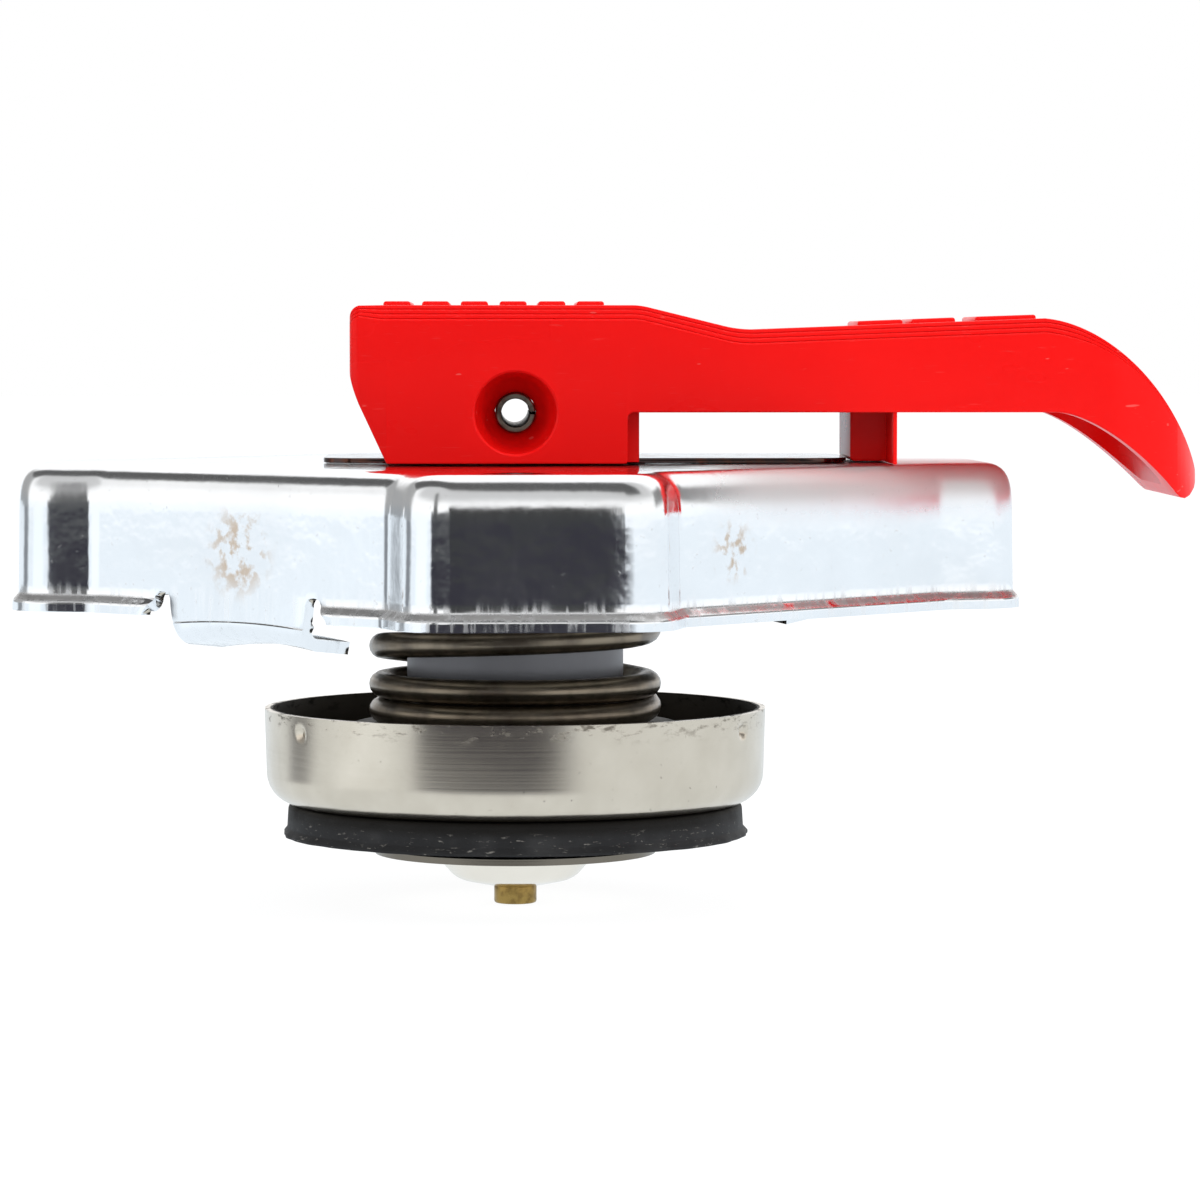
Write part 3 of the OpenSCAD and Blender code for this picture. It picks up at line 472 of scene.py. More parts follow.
STRIP_BACK, STRIP_FRONT, STRIP_HALF_W, STRIP_CORNER = -13.5, 23.35, 7.0, 2.5
STRIP_LOW, STRIP_HIGH, STRIP_EDGE, STRIP_HOLE_R = 4.41, 4.75, 0.03, 5.3
strip_plan = [(STRIP_BACK, -STRIP_HALF_W), (STRIP_FRONT, -STRIP_HALF_W), (STRIP_FRONT, STRIP_HALF_W),
              (STRIP_BACK, STRIP_HALF_W)]
strip_line = rounded(strip_plan, STRIP_CORNER, 8)
strip_rim = []
for i, p in enumerate(strip_line):
    after = strip_line[(i + 1) % len(strip_line)]
    parts = max(1, round((after - p).length / 1.2))
    strip_rim += [p.lerp(after, k / parts) for k in range(parts)]
strip_points, strip_faces = [], []
count = len(strip_rim)
for inset, z in ((STRIP_EDGE, STRIP_LOW), (0, STRIP_LOW + STRIP_EDGE), (0, STRIP_HIGH - STRIP_EDGE),
                 (STRIP_EDGE, STRIP_HIGH)):
    strip_points += [(*(p - inset * p.normalized()), z) for p in strip_rim]
for z in (STRIP_HIGH, STRIP_LOW):
    strip_points += [(*(p.normalized() * STRIP_HOLE_R), z) for p in strip_rim]
for j in range(count):
    k = (j + 1) % count
    for r in range(6):
        a, b = r * count, ((r + 1) % 6) * count
        strip_faces.append((a + j, a + k, b + k, b + j))
strip = solid("guide_strip_steel", strip_points, strip_faces)

dark_steel, shader, place = finish("dark_strip_steel", {"Metallic": 1.0})
rust = place.noise(1.1, 4).rise(0.45, 0.7)
rolled = place.stretched((0.08, 3, 3)).noise(1.0, 2)
feed(shader, {
    "Base Color": rust.blend((0.07, 0.05, 0.047), (0.12, 0.05, 0.035)),
    "Roughness": 0.06 + rust * 0.06 + rolled * 0.04,
    "Normal": (rolled * 0.5 + rust * 0.5).bump(0.002),
})
fit(strip, dark_steel, "guide_strip", "dark_steel", "guide_strip")

# STEM
# A grey moulded plunger. Its barrel hangs inside the spring and hooks under the valve's post, its neck slides in
# the bushing, and the eye on top takes the lever's pin.

PIN_Z = 7.96


def cut(obj, other, operation):
    """Joins another solid to the piece, or takes it away."""
    change = obj.modifiers.new("cut", "BOOLEAN")
    change.operation = operation
    change.solver = "EXACT"
    change.object = other
    settle(obj)
    bpy.data.objects.remove(other)


def ring_faces(rings, count, capped=True):
    """Faces that join rings of points in their order, and that close both ends."""
    faces = []
    for r in range(rings - 1):
        for j in range(count):
            k = (j + 1) % count
            faces.append((r * count + j, r * count + k, (r + 1) * count + k, (r + 1) * count + j))
    if capped:
        faces += [tuple(range(count)), tuple(range((rings - 1) * count, rings * count))]
    return faces


def prism(name, outline, low, high, axis="Y", bevel=0.0, steps=3):
    """An outline carried along an axis, with rounded end edges. The outline's plane is XZ for Y, YZ for X."""
    outline = [Vector(p) for p in outline]
    n = len(outline)
    area = sum(outline[i - 1].x * p.y - outline[i - 1].y * p.x for i, p in enumerate(outline))
    side = math.copysign(1, area)
    inward = []
    for i, p in enumerate(outline):
        u, v = (p - outline[i - 1]).normalized(), (outline[(i + 1) % n] - p).normalized()
        m = Vector((-u.y - v.y, u.x + v.x)) * side
        inward.append(m / max(0.3, 1 + u.dot(v)))
    rings = []
    for a in spread(0, 90, steps + 1) if bevel else [90]:
        rings.append((low + bevel * (1 - math.cos(math.radians(a))), bevel * (1 - math.sin(math.radians(a)))))
    for at, inset in rings[::-1]:
        rings.append((high + low - at, inset))
    points = []
    for at, inset in rings:
        for p, m in zip(outline, inward):
            q = p + inset * m
            points.append((q.x, at, q.y) if axis == "Y" else (at, q.x, q.y))
    return solid(name, points, ring_faces(len(rings), n))


def rod(name, radius, low, high, bevel=0.0, steps=48):
    """A round rod across the lever, at the pin's height."""
    return prism(name, circle(0, PIN_Z, radius, steps), low, high, "Y", bevel)


stem_line = [(4.05, -11.6), (7.775, -11.6), (7.775, -5.95), (5, -5.95), (5, 4.9), (0, 4.9), (0, -4.3), (3.6, -4.3),
             (3.6, -7.625), (6.1, -7.625), (6.1, -10.6), (4.05, -10.6)]
stem_radii = [0.2, 0.3, 0.4, 0.2, 0.15, 0, 0, 0.2, 0.1, 0.2, 0.1, 0.1]
stem = revolved("stem_plunger", rounded(stem_line, stem_radii, 3), 112)
EYE_R = 4.7
eye = [(-EYE_R, 4.3), (EYE_R, 4.3), (EYE_R, PIN_Z)]
eye += [(EYE_R * math.cos(a), PIN_Z + EYE_R * math.sin(a)) for a in spread(0, math.pi, 33)[1:-1]]
eye.append((-EYE_R, PIN_Z))
eye_block = prism("eye_block", eye, -4.6, 4.6, "Y", 0.3)
neck_round = revolved("neck_round", [(0, 4.2), (4.99, 4.2), (4.99, 13.2), (0, 13.2)], 112)
cut(eye_block, neck_round, "INTERSECT")
cut(stem, eye_block, "UNION")
cut(stem, rod("eye_bore", 1.45, -6, 6), "DIFFERENCE")
for side in (-1, 1):
    slot = [(-1, -13), (1, -13), (1, -9.1), (0.7, -8.6), (-0.7, -8.6), (-1, -9.1)]
    cut(stem, prism("snap_slot", slot, *sorted((3.8 * side, 9 * side)), "X"), "DIFFERENCE")

grey_plastic, shader, place = finish("grey_moulded_plastic", {"Specular IOR Level": 0.45})
flow = place.stretched((1, 1, 0.3)).noise(2.5, 3)
scuff = place.noise(0.5, 3).rise(0.62, 0.8)
feed(shader, {
    "Base Color": flow.blend((0.23, 0.23, 0.25), (0.31, 0.31, 0.335)),
    "Roughness": 0.36 + flow * 0.12 + scuff * 0.2,
    "Normal": (place.noise(0.2, 2) * 0.4 + scuff * 0.3).bump(0.008),
})
fit(stem, grey_plastic, "stem", "grey_plastic", "stem", crease=40)

# LEVER
# Moulded in red plastic: a hollow heel with two cam feet, pin bosses between dished holes, a channel-shaped beam
# on a prop leg and cross wall, and a curled finger end. Three fine steps run along its top edges.

LEVER_HALF_W, WALL, TIP_CORNER = 12.0, 2.4, 7.0
HEEL_BACK, HEEL_RISE, TIP_REACH = -11.45, 7.45, 47.95
HEEL_ROUND, FOOT_EDGE = 0.85, 0.12
BEAM_TOP, BEAM_BENDS = [(8.6, HEEL_RISE), (15.5, 5.75), (36.6, 6.55)], [5, 8]
STRIP_ROOM, BORE_R, DISH_FLOOR = 7.3, 1.43, 8.7


def bezier(p, count):
    p = [Vector(q) for q in p]
    return [(1 - t) ** 3 * p[0] + 3 * t * (1 - t) ** 2 * p[1] + 3 * t * t * (1 - t) * p[2] + t ** 3 * p[3]
            for t in spread(0, 1, count)]


def eased(points, radii):
    """An open side view with its inner corners rounded."""
    points = [Vector(p) for p in points]
    line = [points[0]]
    for i in range(1, len(points) - 1):
        if radii[i - 1]:
            line += [q for q, _ in corner(points[i - 1], points[i], points[i + 1], radii[i - 1], 10)]
        else:
            line.append(points[i])
    return line + [points[-1]]


def climbing(line):
    """The line with strictly rising x, so that a height can be read off it."""
    out = [line[0]]
    for p in line[1:]:
        out.append(Vector((max(p.x, out[-1].x + 0.01), p.y)))
    return out


def height(line, x):
    for a, b in zip(line, line[1:]):
        if x <= b.x:
            return a.y + (b.y - a.y) * max(0, x - a.x) / (b.x - a.x)
    return line[-1].y


top_line = eased([(HEEL_BACK, HEEL_RISE)] + BEAM_TOP, BEAM_BENDS)
top_line += bezier([BEAM_TOP[-1], (41.2, 6.15), (45.85, 1.3), (TIP_REACH, -4.5)], 40)[1:]
foot_line = eased([(HEEL_BACK, 1.95), (-8.9, -3.49), (7.7, -3.49), (7.7, 0.05), (37.4, 0.05)], [0.15, 0.12, 0.5])
foot_line += bezier([(37.4, 0.05), (40.0, -0.05), (43.6, -2.9), (46.0, -5.6)], 30)[1:]
foot_line += [Vector(p) for p in ((46.35, -5.92), (46.75, -6.0), (47.2, -5.8), (47.65, -5.3), (TIP_REACH, -4.65))]
top_line, foot_line = climbing(top_line), climbing(foot_line)


def plan_half_w(x, inset=0.0):
    """Half the lever's width at x: square at the heel, with round corners at the tip."""
    over = x - (TIP_REACH - TIP_CORNER)
    radius = TIP_CORNER - inset
    if over <= 0:
        return LEVER_HALF_W - inset
    return LEVER_HALF_W - TIP_CORNER + math.sqrt(max(0, radius * radius - over * over))


def lever_section(half_w, low, high, steps):
    """Right half of a section, from the middle of the underside to the middle of the top."""
    tall = high - low
    foot = min(FOOT_EDGE, tall * 0.2)
    size = min(steps, tall * 0.45)
    line = [(0, low), (half_w * 0.5, low), (half_w - foot, low)]
    for a in (0.4, 0.8, 1.2, math.pi / 2):
        line.append((half_w - foot + foot * math.sin(a), low + foot - foot * math.cos(a)))
    for inward, down in ((0, 1.05), (0.33, 0.72), (0.66, 0.39)):
        rise = ((0, 0), (0.1, 0.08), (0.22, 0.09), (0.22, 0.13), (0.13, 0.15))
        line += [(half_w - (0.42 * inward + i) * size, high - (down - d) * size) for i, d in rise]
    line += [(half_w - i * size, high - d * size) for i, d in ((0.41, 0.1), (0.45, 0.03), (0.53, 0))]
    return line + [(half_w * 0.5, high), (0, high)]


stations = sorted({round(p.x, 4) for p in top_line + foot_line} | set(spread(-10.8, 36, 30)))
stations = [x for i, x in enumerate(stations) if i == 0 or x - stations[i - 1] > 0.004]
sections = []
for a in spread(0, 75, 6):
    inset = HEEL_ROUND * (1 - math.sin(math.radians(a)))
    x = HEEL_BACK + HEEL_ROUND * (1 - math.cos(math.radians(a)))
    sections.append((x, LEVER_HALF_W - inset, height(foot_line, x) + inset, HEEL_RISE - inset, 0.75))
for x in stations:
    if x > HEEL_BACK + HEEL_ROUND:
        steps = 1.0 - 0.75 * smooth(37, 45.5, x)
        sections.append((x, plan_half_w(x), height(foot_line, x), height(top_line, x), steps))
lever_points = []
for x, half_w, low, high, steps in sections:
    half = lever_section(half_w, low, high, steps)
    whole = half + [(-y, z) for y, z in half[-2:0:-1]]
    lever_points += [(x, y, z + PIN_Z) for y, z in whole]
lever = solid("lever_moulding", lever_points, ring_faces(len(sections), len(whole)))

# The hollow under the heel and the beam
beam_roof = [(x, z - WALL) for x, z in BEAM_TOP]
roof_line = eased([(HEEL_BACK + WALL, HEEL_RISE - WALL)] + beam_roof, BEAM_BENDS)
roof_line += bezier([beam_roof[-1], (40.0, 3.55), (43.55, 1.8), (TIP_REACH - WALL, -4.0)], 24)[1:]
roof_line = climbing(roof_line)
hollow_points = []
for p in roof_line:
    half_w = plan_half_w(p.x, WALL)
    half = [(0, -9), (half_w, -9), (half_w, p.y - 0.6), (half_w - 0.2, p.y - 0.18), (half_w - 0.6, p.y), (0, p.y)]
    whole = half + [(-y, z) for y, z in half[-2:0:-1]]
    hollow_points += [(p.x, y, z + PIN_Z) for y, z in whole]
cut(lever, solid("hollow", hollow_points, ring_faces(len(roof_line), len(whole))), "DIFFERENCE")

# The notch that clears the strip, the pin bosses, the front wall, the cross wall and the prop leg
notch_top = PIN_Z - 0.3
notch = [(-STRIP_ROOM, -6), (STRIP_ROOM, -6), (STRIP_ROOM, notch_top), (-STRIP_ROOM, notch_top)]
notch = rounded(notch, [0, 0, 0.8, 0.8])
cut(lever, prism("rear_notch", notch, HEEL_BACK - 2, HEEL_BACK + WALL + 0.9, "X"), "DIFFERENCE")
for side in (-1, 1):
    cut(lever, rod("pin_boss", 2.9, *sorted((4.9 * side, 9.75 * side)), 0.25), "UNION")
half_wall = [(STRIP_ROOM, -3.0), (STRIP_ROOM, -3.42), (9.7, -3.42), (9.7, 6.2)]
front_wall = [(y, z + PIN_Z) for y, z in half_wall + [(-y, z) for y, z in half_wall[::-1]]]
cut(lever, prism("front_wall", front_wall, 7.6, 8.6, "X", 0.1), "UNION")
cross_wall = rounded([(26.1, 4.4), (26.38, 4.4), (26.38, 12.5), (26.1, 12.5)], [0.1, 0.1, 0, 0])
cut(lever, prism("cross_wall", cross_wall, -11.65, 11.65, "Y", 0.06), "UNION")
leg = rounded([(23.57, 4.5), (26.5, 4.5), (26.5, 12.37), (23.57, 12.37)], [0.3, 0.3, 0, 0])
cut(lever, prism("prop_leg", leg, -5.5, 5.5, "Y", 0.12), "UNION")

# Plain grip bars on the heel and on the beam, each with its start, its length and rounded edges
bars = [(-9.2 + 2.7 * i, 1.9) for i in range(6)] + [(24.1, 3.2), (27.9, 3.1), (32.4, 4.3)]
for x, length in bars:
    low, high = (height(top_line, x + t * length) + PIN_Z for t in (0, 1))
    end = x + length
    bar = rounded([(x, low - 0.4), (end, high - 0.4), (end, high + 0.3), (x, low + 0.3)], [0, 0, 0.2, 0.2])
    half_w = 5.0 if x > 20 else 7.6
    cut(lever, prism("grip_bar", bar, -half_w, half_w, "Y", 0.2), "UNION")

# The dished holes and the bore for the pin, with a soft rim where the dish meets the cheek
for side in (-1, 1):
    dish = [(0, 5.5), (BORE_R, 5.5), (BORE_R, DISH_FLOOR), (1.62, 8.9), (1.9, 9.0), (2.3, 9.5), (2.58, 10.4),
            (2.76, 11.5), (2.84, 11.88), (3.0, 12.02), (3.3, 12.3), (0, 12.3)]
    cutter = revolved("dish_cutter", dish, 72)
    for v in cutter.data.vertices:
        r, t, d = v.co
        v.co = (r, side * d, t + PIN_Z * MM)
    turn_outward(cutter.data)
    cut(lever, cutter, "DIFFERENCE")
cut(lever, rod("pin_bore", BORE_R, -11, 11), "DIFFERENCE")

red_plastic, shader, place = finish("red_moulded_plastic", {"Specular IOR Level": 0.12, "IOR": 1.48})
swirl = place.stretched((0.4, 1, 1)).noise(6.0, 3)
skin = place.noise(0.22, 2)
scratch = place.stretched((0.25, 1, 3.2)).noise(0.42, 2).rise(0.68, 0.76)
nick = place.stretched((0.5, 1, 1.6)).noise(0.6, 1).rise(0.745, 0.79)
worn = scratch * 0.06 + nick * 0.3
tone = swirl.blend((0.80, 0.004, 0.004), (0.88, 0.007, 0.006))
feed(shader, {
    "Base Color": worn.blend(tone, (0.92, 0.25, 0.22)),
    "Roughness": 0.25 + swirl * 0.06 + scratch * 0.08,
    "Normal": (skin * 0.4 - scratch * 0.5 - nick * 0.8).bump(0.008),
})
fit(lever, red_plastic, "lever", "red_plastic", "lever", crease=32)

# ROLL PIN
# A hollow spring pin rolled from steel strip, with a slot along it. It is driven through the heel's bosses and
# the stem's eye, and its ends stand a little proud of the floors of the dished holes.

PIN_R, PIN_BORE, PIN_HALF_LEN, PIN_SLOT = 1.4, 0.98, 10.15, 0.12
pin_points = []
gap = math.asin(PIN_SLOT / PIN_R)
angles = spread(gap, 2 * math.pi - gap, 49)
rings = [(-PIN_HALF_LEN, 0.1), (0.12 - PIN_HALF_LEN, 0), (PIN_HALF_LEN - 0.12, 0), (PIN_HALF_LEN, 0.1)]
for y, inset in rings:
    section = [(PIN_R - inset, a) for a in angles] + [(PIN_BORE + inset / 2, a) for a in angles[::-1]]
    pin_points += [(r * math.cos(a), y, PIN_Z + r * math.sin(a)) for r, a in section]
n = 2 * len(angles)
pin_faces = ring_faces(len(rings), n, capped=False)
for start in (0, 3 * n):
    for j in range(len(angles) - 1):
        pin_faces.append((start + j, start + j + 1, start + n - 2 - j, start + n - 1 - j))
roll_pin = solid("rolled_pin", pin_points, pin_faces)

pin_steel, shader, place = finish("plain_pin_steel", {"Metallic": 1.0})
draw_marks = place.stretched((5, 0.2, 5)).noise(0.7, 2)
tarnish = place.noise(0.8, 3).rise(0.4, 0.7)
feed(shader, {
    "Base Color": tarnish.blend((0.20, 0.17, 0.14), (0.08, 0.06, 0.048)),
    "Roughness": 0.26 + draw_marks * 0.2 + tarnish * 0.15,
    "Normal": draw_marks.bump(0.006),
})
fit(roll_pin, pin_steel, "lever", "pin_steel", "roll_pin")

# PRESSURE SPRING
# Oiled spring wire, coiled right-handed with a closed turn at each end. It stands on the cup's platform and
# pushes up against the diaphragm.

WIRE_R, COIL_R = 0.9, 9.55
COIL_LOW, COIL_HIGH = -14.27 + WIRE_R, 2.44 - WIRE_R
CLOSED = 1.83


def coil(name, radius, wire, knots, start, rings_a_turn=48, sides=16):
    """A coil of round wire. The knots give the wire's height at counts of turns, with eased bends between them."""
    turns = knots[-1][0]
    line = climbing([Vector(k) for k in knots])
    count = round(turns * rings_a_turn)
    points = []
    for i in range(count + 1):
        t = turns * i / count
        around_t = [min(turns, max(0, t + d)) for d in spread(-0.09, 0.09, 7)]
        z = sum(height(line, u) for u in around_t) / len(around_t)
        shrink = 1 if 0 < i < count else 0.8
        for j in range(sides):
            a, q = start + 2 * math.pi * t, 2 * math.pi * j / sides
            r = radius + wire * shrink * math.cos(q)
            points.append((r * math.cos(a), r * math.sin(a), z + wire * shrink * math.sin(q)))
    return solid(name, points, ring_faces(count + 1, sides))


knots = [(0, COIL_LOW), (0.72, COIL_LOW), (1.02, COIL_LOW + CLOSED), (1.8, COIL_LOW + CLOSED), (1.92, -11.2),
         (2.25, -8.7), (2.5, -8.0), (2.75, -7.7), (3.25, -5.2), (3.75, -2.7), (4.2, COIL_HIGH - CLOSED),
         (5.2, COIL_HIGH)]
spring = coil("pressure_coil", COIL_R, WIRE_R, knots, math.pi / 2)

spring_steel, shader, place = finish("oiled_spring_wire", {"Metallic": 0.95, "Coat Roughness": 0.15})
drawn = around(place).stretched((0.3, 5, 5)).noise(0.8, 3)
oil = place.noise(2.2, 3).rise(0.35, 0.7)
feed(shader, {
    "Base Color": oil.blend((0.30, 0.245, 0.18), (0.16, 0.125, 0.09)),
    "Roughness": 0.24 + drawn * 0.16 + oil * 0.08,
    "Coat Weight": oil * 0.5,
    "Normal": drawn.bump(0.012),
})
fit(spring, spring_steel, "valve", "spring_steel", "pressure_spring", crease=60)
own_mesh(spring)

# VALVE CUP
# Pressed from stainless sheet: a slightly tapered wall, a floor that backs the seal, and a raised platform in the
# middle for the spring. Three small dimples punched below the rim kept the seal in place during assembly.

CUP_R, CUP_RIM, CUP_FLOOR, CUP_SHEET = 17.9, -13.2, -20.0, 0.6
cup_path = [(CUP_R, CUP_RIM), (CUP_R - 0.2, CUP_FLOOR), (11.7, CUP_FLOOR), (11.7, -14.9), (4.43, -14.9)]
cup_line = sheet_outline(cup_path, [2.2, 1.0, 0.5], CUP_SHEET)
fine = []
for a, b in zip(cup_line, cup_line[1:] + cup_line[:1]):
    wall = a.x > 16.9 and (b - a).length > 1
    parts = 20 if wall else 1
    fine += [a.lerp(b, k / parts) for k in range(parts)]
cup = revolved("cup_pressing", fine, 320)
DIMPLE_R, DIMPLE_DEEP, DIMPLE_Z = 0.42, 0.3, CUP_RIM - 1.15
for v in cup.data.vertices:
    x, y, z = v.co / MM
    for angle in (-27, 93, 213):
        c, s = math.cos(math.radians(angle)), math.sin(math.radians(angle))
        if x * c + y * s > 16.5:
            away = math.hypot(y * c - x * s, z - DIMPLE_Z)
            push = DIMPLE_DEEP * (1 - smooth(0.25 * DIMPLE_R, 1.6 * DIMPLE_R, away))
            v.co = v.co - Vector((c, s, 0)) * push * MM

cup_steel, shader, place = finish("satin_cup_steel", {"Metallic": 1.0})
ring = around(place)
brushed = ring.stretched((0.25, 9, 9)).noise(1.0, 3)
cloud = place.noise(3.0, 3)
# Painted shade: inside the cup, from the rim down to about 2 mm above the floor, the steel is made near black and
# rougher, as it lies in shade under the shell.
inside_shade = ring.axis("Y").fall(17.4, 17.6) * place.axis("Z").rise(-18.3, -17.9)
below_rim = place.axis("Z").rise(CUP_RIM - 1.7, CUP_RIM)
grime = ring.stretched((4, 1, 1)).noise(0.6, 4, 0.65).rise(0.53, 0.68) * below_rim
speck = place.noise(0.35, 3).rise(0.68, 0.78)
tone = cloud.blend((0.75, 0.67, 0.56), (0.60, 0.53, 0.43))
tone = (grime * 0.75 + speck * 0.35).blend(tone, (0.1, 0.08, 0.06))
feed(shader, {
    "Base Color": (inside_shade * 0.95).blend(tone, (0.03, 0.025, 0.02)),
    "Roughness": 0.12 + brushed * 0.1 + cloud * 0.08 + grime * 0.25 + inside_shade * 0.3,
    "Normal": (brushed * 0.5 + speck * 0.4 + grime * 0.3).bump(0.006),
})
fit(cup, cup_steel, "valve", "stainless", "valve_cup")

# PRESSURE SEAL
# Moulded black rubber: a flat ring with a flared lip, a bead for the vacuum disc to close on, and a hub that
# fills the cup's platform. A ragged line of flash runs round the lip.

seal_line = [(4.43, -22.28), (7.37, -22.28), (7.87, -23.13), (8.87, -23.13), (9.37, -22.28), (9.37, -21.98),
             (10.35, -21.98), (10.35, -22.28), (16.6, -22.28), (16.6, -22.1), (16.32, -21.7), (16.22, -20.03),
             (11.61, -20.03), (11.61, -14.93), (4.43, -14.93)]
seal_radii = [0, 0.2, 0.25, 0.25, 0.2, 0, 0.1, 0.1, 0.06, 0.06, 0.2, 0.4, 0.1, 0.9, 0]
seal = revolved("seal_ring", rounded(seal_line, seal_radii, 4), 256)
for v in seal.data.vertices:
    x, y, z = v.co / MM
    r, a = math.hypot(x, y), math.atan2(y, x)
    if r > 16.4 and z < -21.8:
        ragged = 0.05 * math.sin(9 * a + 1) + 0.035 * math.sin(23 * a) + 0.03 * math.sin(41 * a + 2)
        v.co = v.co + Vector((x, y, 0)) / r * ragged * MM
fit(seal, rubber, "valve", "black_rubber", "pressure_seal")

# VALVE POST
# A tubular steel rivet that clamps the seal to the cup. Its head hangs on the stem's hooked lip, and holes
# through its neck let coolant back in when the vacuum disc opens.

post_line = [(2.6, -22.81), (5.4, -22.81), (5.4, -22.31), (4.4, -22.31), (4.4, -14.27), (5.4, -14.27),
             (5.4, -13.62), (3.7, -13.62), (3.7, -10.5), (5.4, -10.5), (5.4, -9.6), (2.6, -9.6)]
post_radii = [0.15, 0.2, 0.1, 0, 0, 0.2, 0.2, 0.15, 0.15, 0.2, 0.2, 0.2]
post = revolved("post_rivet", rounded(post_line, post_radii, 3), 96)
for axis in "XY":
    cut(post, prism("flow_hole", circle(0, -12.06, 0.8, 24), -6, 6, axis), "DIFFERENCE")
fit(post, pin_steel, "valve", "pin_steel", "valve_post")

# VACUUM VALVE
# A thin polished disc with a domed middle closes on the seal's bead. A turned brass pin is riveted through it, and
# a washer and a light coil on top of the post draw it shut.

disc_path = [(10.05, -23.61), (5.9, -23.61), (4.25, -25.49), (1.97, -25.96), (1.13, -25.96)]
disc = revolved("vacuum_plate", sheet_outline(disc_path, [1.0, 1.9, 1.0], 0.45), 192)
brass_line = [(0, -27.29), (1.52, -27.29), (1.52, -25.99), (1.1, -25.99), (1.1, -6.67), (1.5, -6.67),
              (1.5, -6.3), (0, -6.3)]
brass_pin = revolved("brass_stud", rounded(brass_line, [0, 0.18, 0.12, 0.05, 0, 0.1, 0.15, 0], 3), 64)
keeper_line = [(1.13, -7.2), (3.3, -7.2), (3.3, -6.7), (1.13, -6.7)]
keeper = revolved("keeper_washer", rounded(keeper_line, [0, 0.1, 0.1, 0], 3), 64)
vacuum_coil = coil("vacuum_coil", 2.95, 0.175, [(0, -9.395), (2.5, -7.405)], 0, 32, 8)

bright_sheet, shader, place = finish("polished_disc", {"Metallic": 1.0, "Anisotropic": 0.5})
spun = around(place).stretched((0.15, 8, 8)).noise(1.0, 3)
cloud = place.noise(3.5, 3)
# Painted shade: the disc's outer rim, close under the seal, is made dark.
rim_shade = around(place).axis("Y").rise(8.6, 9.7)
tone = cloud.blend((0.94, 0.86, 0.75), (0.84, 0.76, 0.65))
feed(shader, {
    "Base Color": (rim_shade * 0.88).blend(tone, (0.11, 0.09, 0.065)),
    "Roughness": 0.14 + spun * 0.12 + cloud * 0.06,
    "Normal": spun.bump(0.004),
})

brass, shader, place = finish("turned_brass", {"Metallic": 1.0})
lathe = around(place).stretched((0.1, 9, 9)).noise(1.0, 2)
tarnish = place.noise(0.7, 4).rise(0.4, 0.75)
feed(shader, {
    "Base Color": tarnish.blend((0.36, 0.235, 0.07), (0.20, 0.125, 0.04)),
    "Roughness": 0.22 + lathe * 0.16 + tarnish * 0.2,
    "Normal": (lathe * 0.7 + tarnish * 0.3).bump(0.015),
})
fit(disc, bright_sheet, "vacuum", "bright_sheet", "vacuum_disc")
fit(brass_pin, brass, "vacuum", "brass", "vacuum_pin")
fit(keeper, pin_steel, "vacuum", "pin_steel", "vacuum_keeper")
fit(vacuum_coil, pin_steel, "valve", "pin_steel", "vacuum_spring", crease=60)
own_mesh(vacuum_coil)

# STUDIO
# A plain white floor and background, with soft lights overhead and at each side. What the plating mirrors is a
# room with light walls, dark gaps between them, a dark card behind the camera and a dark table in front.

FLOOR_Z, FLOOR_HALF_W = -27.3, 3000
floor_corners = [(x * FLOOR_HALF_W, y * FLOOR_HALF_W, FLOOR_Z) for x, y in ((-1, -1), (1, -1), (1, 1), (-1, 1))]
floor = solid("floor", floor_corners, [(0, 1, 2, 3)])


def heading(place):
    """The bearing of a place from the cap in degrees: 0 toward the camera, and positive to the right."""
    return place.math("ARCTAN2", place.axis("X"), 0 - place.axis("Y")) * (180 / math.pi)


paper = bpy.data.materials.new("pale_paper")
paper.use_nodes = True
paper.node_tree.nodes.clear()
sheet = Value(paper.node_tree)
spot = sheet.node("TexCoord", {}, {}, "Object")
side, ahead, bearing = spot.axis("X"), spot.axis("Y"), heading(spot)
# Seen only in reflections, the floor shows a dark patch in front (the table), a dark patch off to the left and a
# brighter window patch; to the camera it stays white.
table = ahead.fall(-0.08, -0.04) * bearing.band(-46, -40, 12, 32)
far_left = side.fall(-0.09, -0.05) * bearing.band(-124, -114, -106, -96)
window = side.fall(-0.08, -0.04) * bearing.band(-88, -76, -58, -48)
seen = sheet.node("LightPath", {}, {}, "Is Camera Ray")
mirrored = sheet.node("LightPath", {}, {}, "Is Glossy Ray")
matt = sheet.node("BsdfDiffuse", {}, {"Color": (0.88, 0.9, 0.92, 1)})
pale = mirrored.blend((1, 1, 1), (0.80, 0.87, 0.93))
shade = (mirrored * (table + far_left * 0.75)).blend(pale, (0.035, 0.034, 0.045))
glow = sheet.node("Emission", {}, {"Color": shade, "Strength": 1.1 + mirrored * window * 0.2})
above = sheet.node("MixShader", {}, {0: seen * 0.85 + mirrored, 1: matt, 2: glow})
below = sheet.node("NewGeometry", {}, {}, "Backfacing")
shown = sheet.node("MixShader", {}, {0: below, 1: above, 2: sheet.node("BsdfTransparent", {}, {})})
paper.node_tree.links.new(shown.socket, paper.node_tree.nodes.new("ShaderNodeOutputMaterial").inputs["Surface"])
floor.data.materials.append(paper)

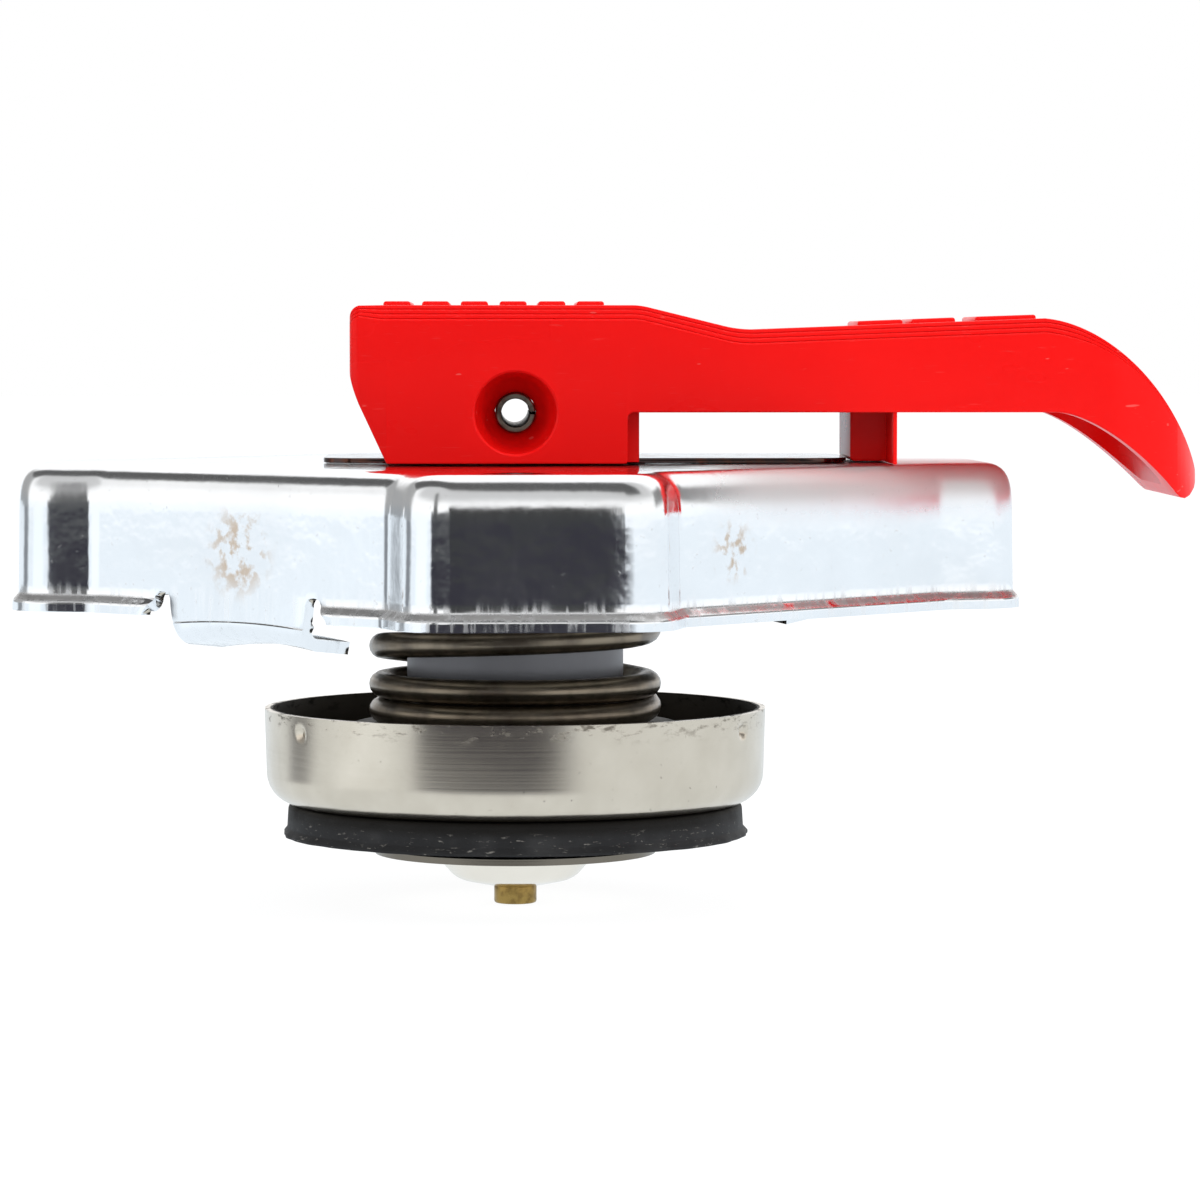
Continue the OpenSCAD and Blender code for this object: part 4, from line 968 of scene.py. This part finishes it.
room = bpy.context.scene.world or bpy.data.worlds.new("room")
bpy.context.scene.world = room
room.use_nodes = True
room.node_tree.nodes.clear()
air = Value(room.node_tree)
toward = air.node("TexCoord", {}, {}, "Generated")
side, ahead, up, bearing = toward.axis("X"), toward.axis("Y"), toward.axis("Z"), heading(toward)
card = bearing.band(-6, -3, 8, 10.5) * up.fall(0.13, 0.24)
slit = bearing.band(-38.5, -36, -29, -26.5) * up.fall(0.5, 0.75)
across = air.math("ABSOLUTE", side * -0.650 + ahead * -0.705 + up * -0.285)
beam = across.fall(0.23, 0.32) * up.rise(0.44, 0.54)
right_gap = bearing.band(84, 92, 122, 136) * up.band(0.08, 0.18, 0.42, 0.55)
left_back = bearing.band(-160, -145, -108, -98) * up.fall(0.45, 0.6)
low = bearing.band(-46, -40, 9, 13) * up.fall(0.04, 0.12)
mirrored = air.node("LightPath", {}, {}, "Is Glossy Ray")
ceiling = mirrored * bearing.band(-105, -75, 75, 105) * up.rise(0.22, 0.42)
dark = card * 1.1
for part in (low * 1.05, slit * 1.02, beam * 1.05, right_gap * 0.9, left_back * 0.75, ceiling * 0.5):
    dark = air.math("MAXIMUM", dark, part)
level = 1.15 - dark
tint = up.rise(0.0, 0.12).blend((0.90, 0.95, 1.0), (1.0, 1.0, 1.0))
seen = air.node("LightPath", {}, {}, "Is Camera Ray")
studio = air.node("Background", {}, {"Color": tint, "Strength": level})
white = air.node("Background", {}, {"Color": (1, 1, 1, 1), "Strength": 1.0})
shown = air.node("MixShader", {}, {0: seen, 1: studio, 2: white})
room.node_tree.links.new(shown.socket, room.node_tree.nodes.new("ShaderNodeOutputWorld").inputs["Surface"])


def light_box(name, place, size, power):
    """A soft square light that faces the cap, and that the plating does not mirror."""
    lamp = bpy.data.lights.new(name, "AREA")
    lamp.size = size
    lamp.energy = power
    obj = bpy.data.objects.new(name, lamp)
    bpy.context.scene.collection.objects.link(obj)
    obj.location = place
    obj.rotation_euler = Vector(place).to_track_quat("Z", "Y").to_euler()
    obj.visible_glossy = False


light_box("overhead_box", (0.05, -0.05, 0.55), 0.45, 1.5)
light_box("left_box", (-0.45, -0.35, 0.22), 0.3, 0.45)
light_box("right_box", (0.48, -0.3, 0.3), 0.3, 1.1)

camera = bpy.data.cameras.new("camera")
camera.sensor_width = 36
camera.lens = 147
camera.clip_start = 0.01
view = bpy.data.objects.new("camera", camera)
bpy.context.scene.collection.objects.link(view)
view.location = (-0.00126, -0.35005, 0.0132)
view.rotation_euler = (math.radians(90 - 3.07), 0, math.radians(-1.2))
bpy.context.scene.camera = view
bpy.context.scene.view_settings.view_transform = "Standard"
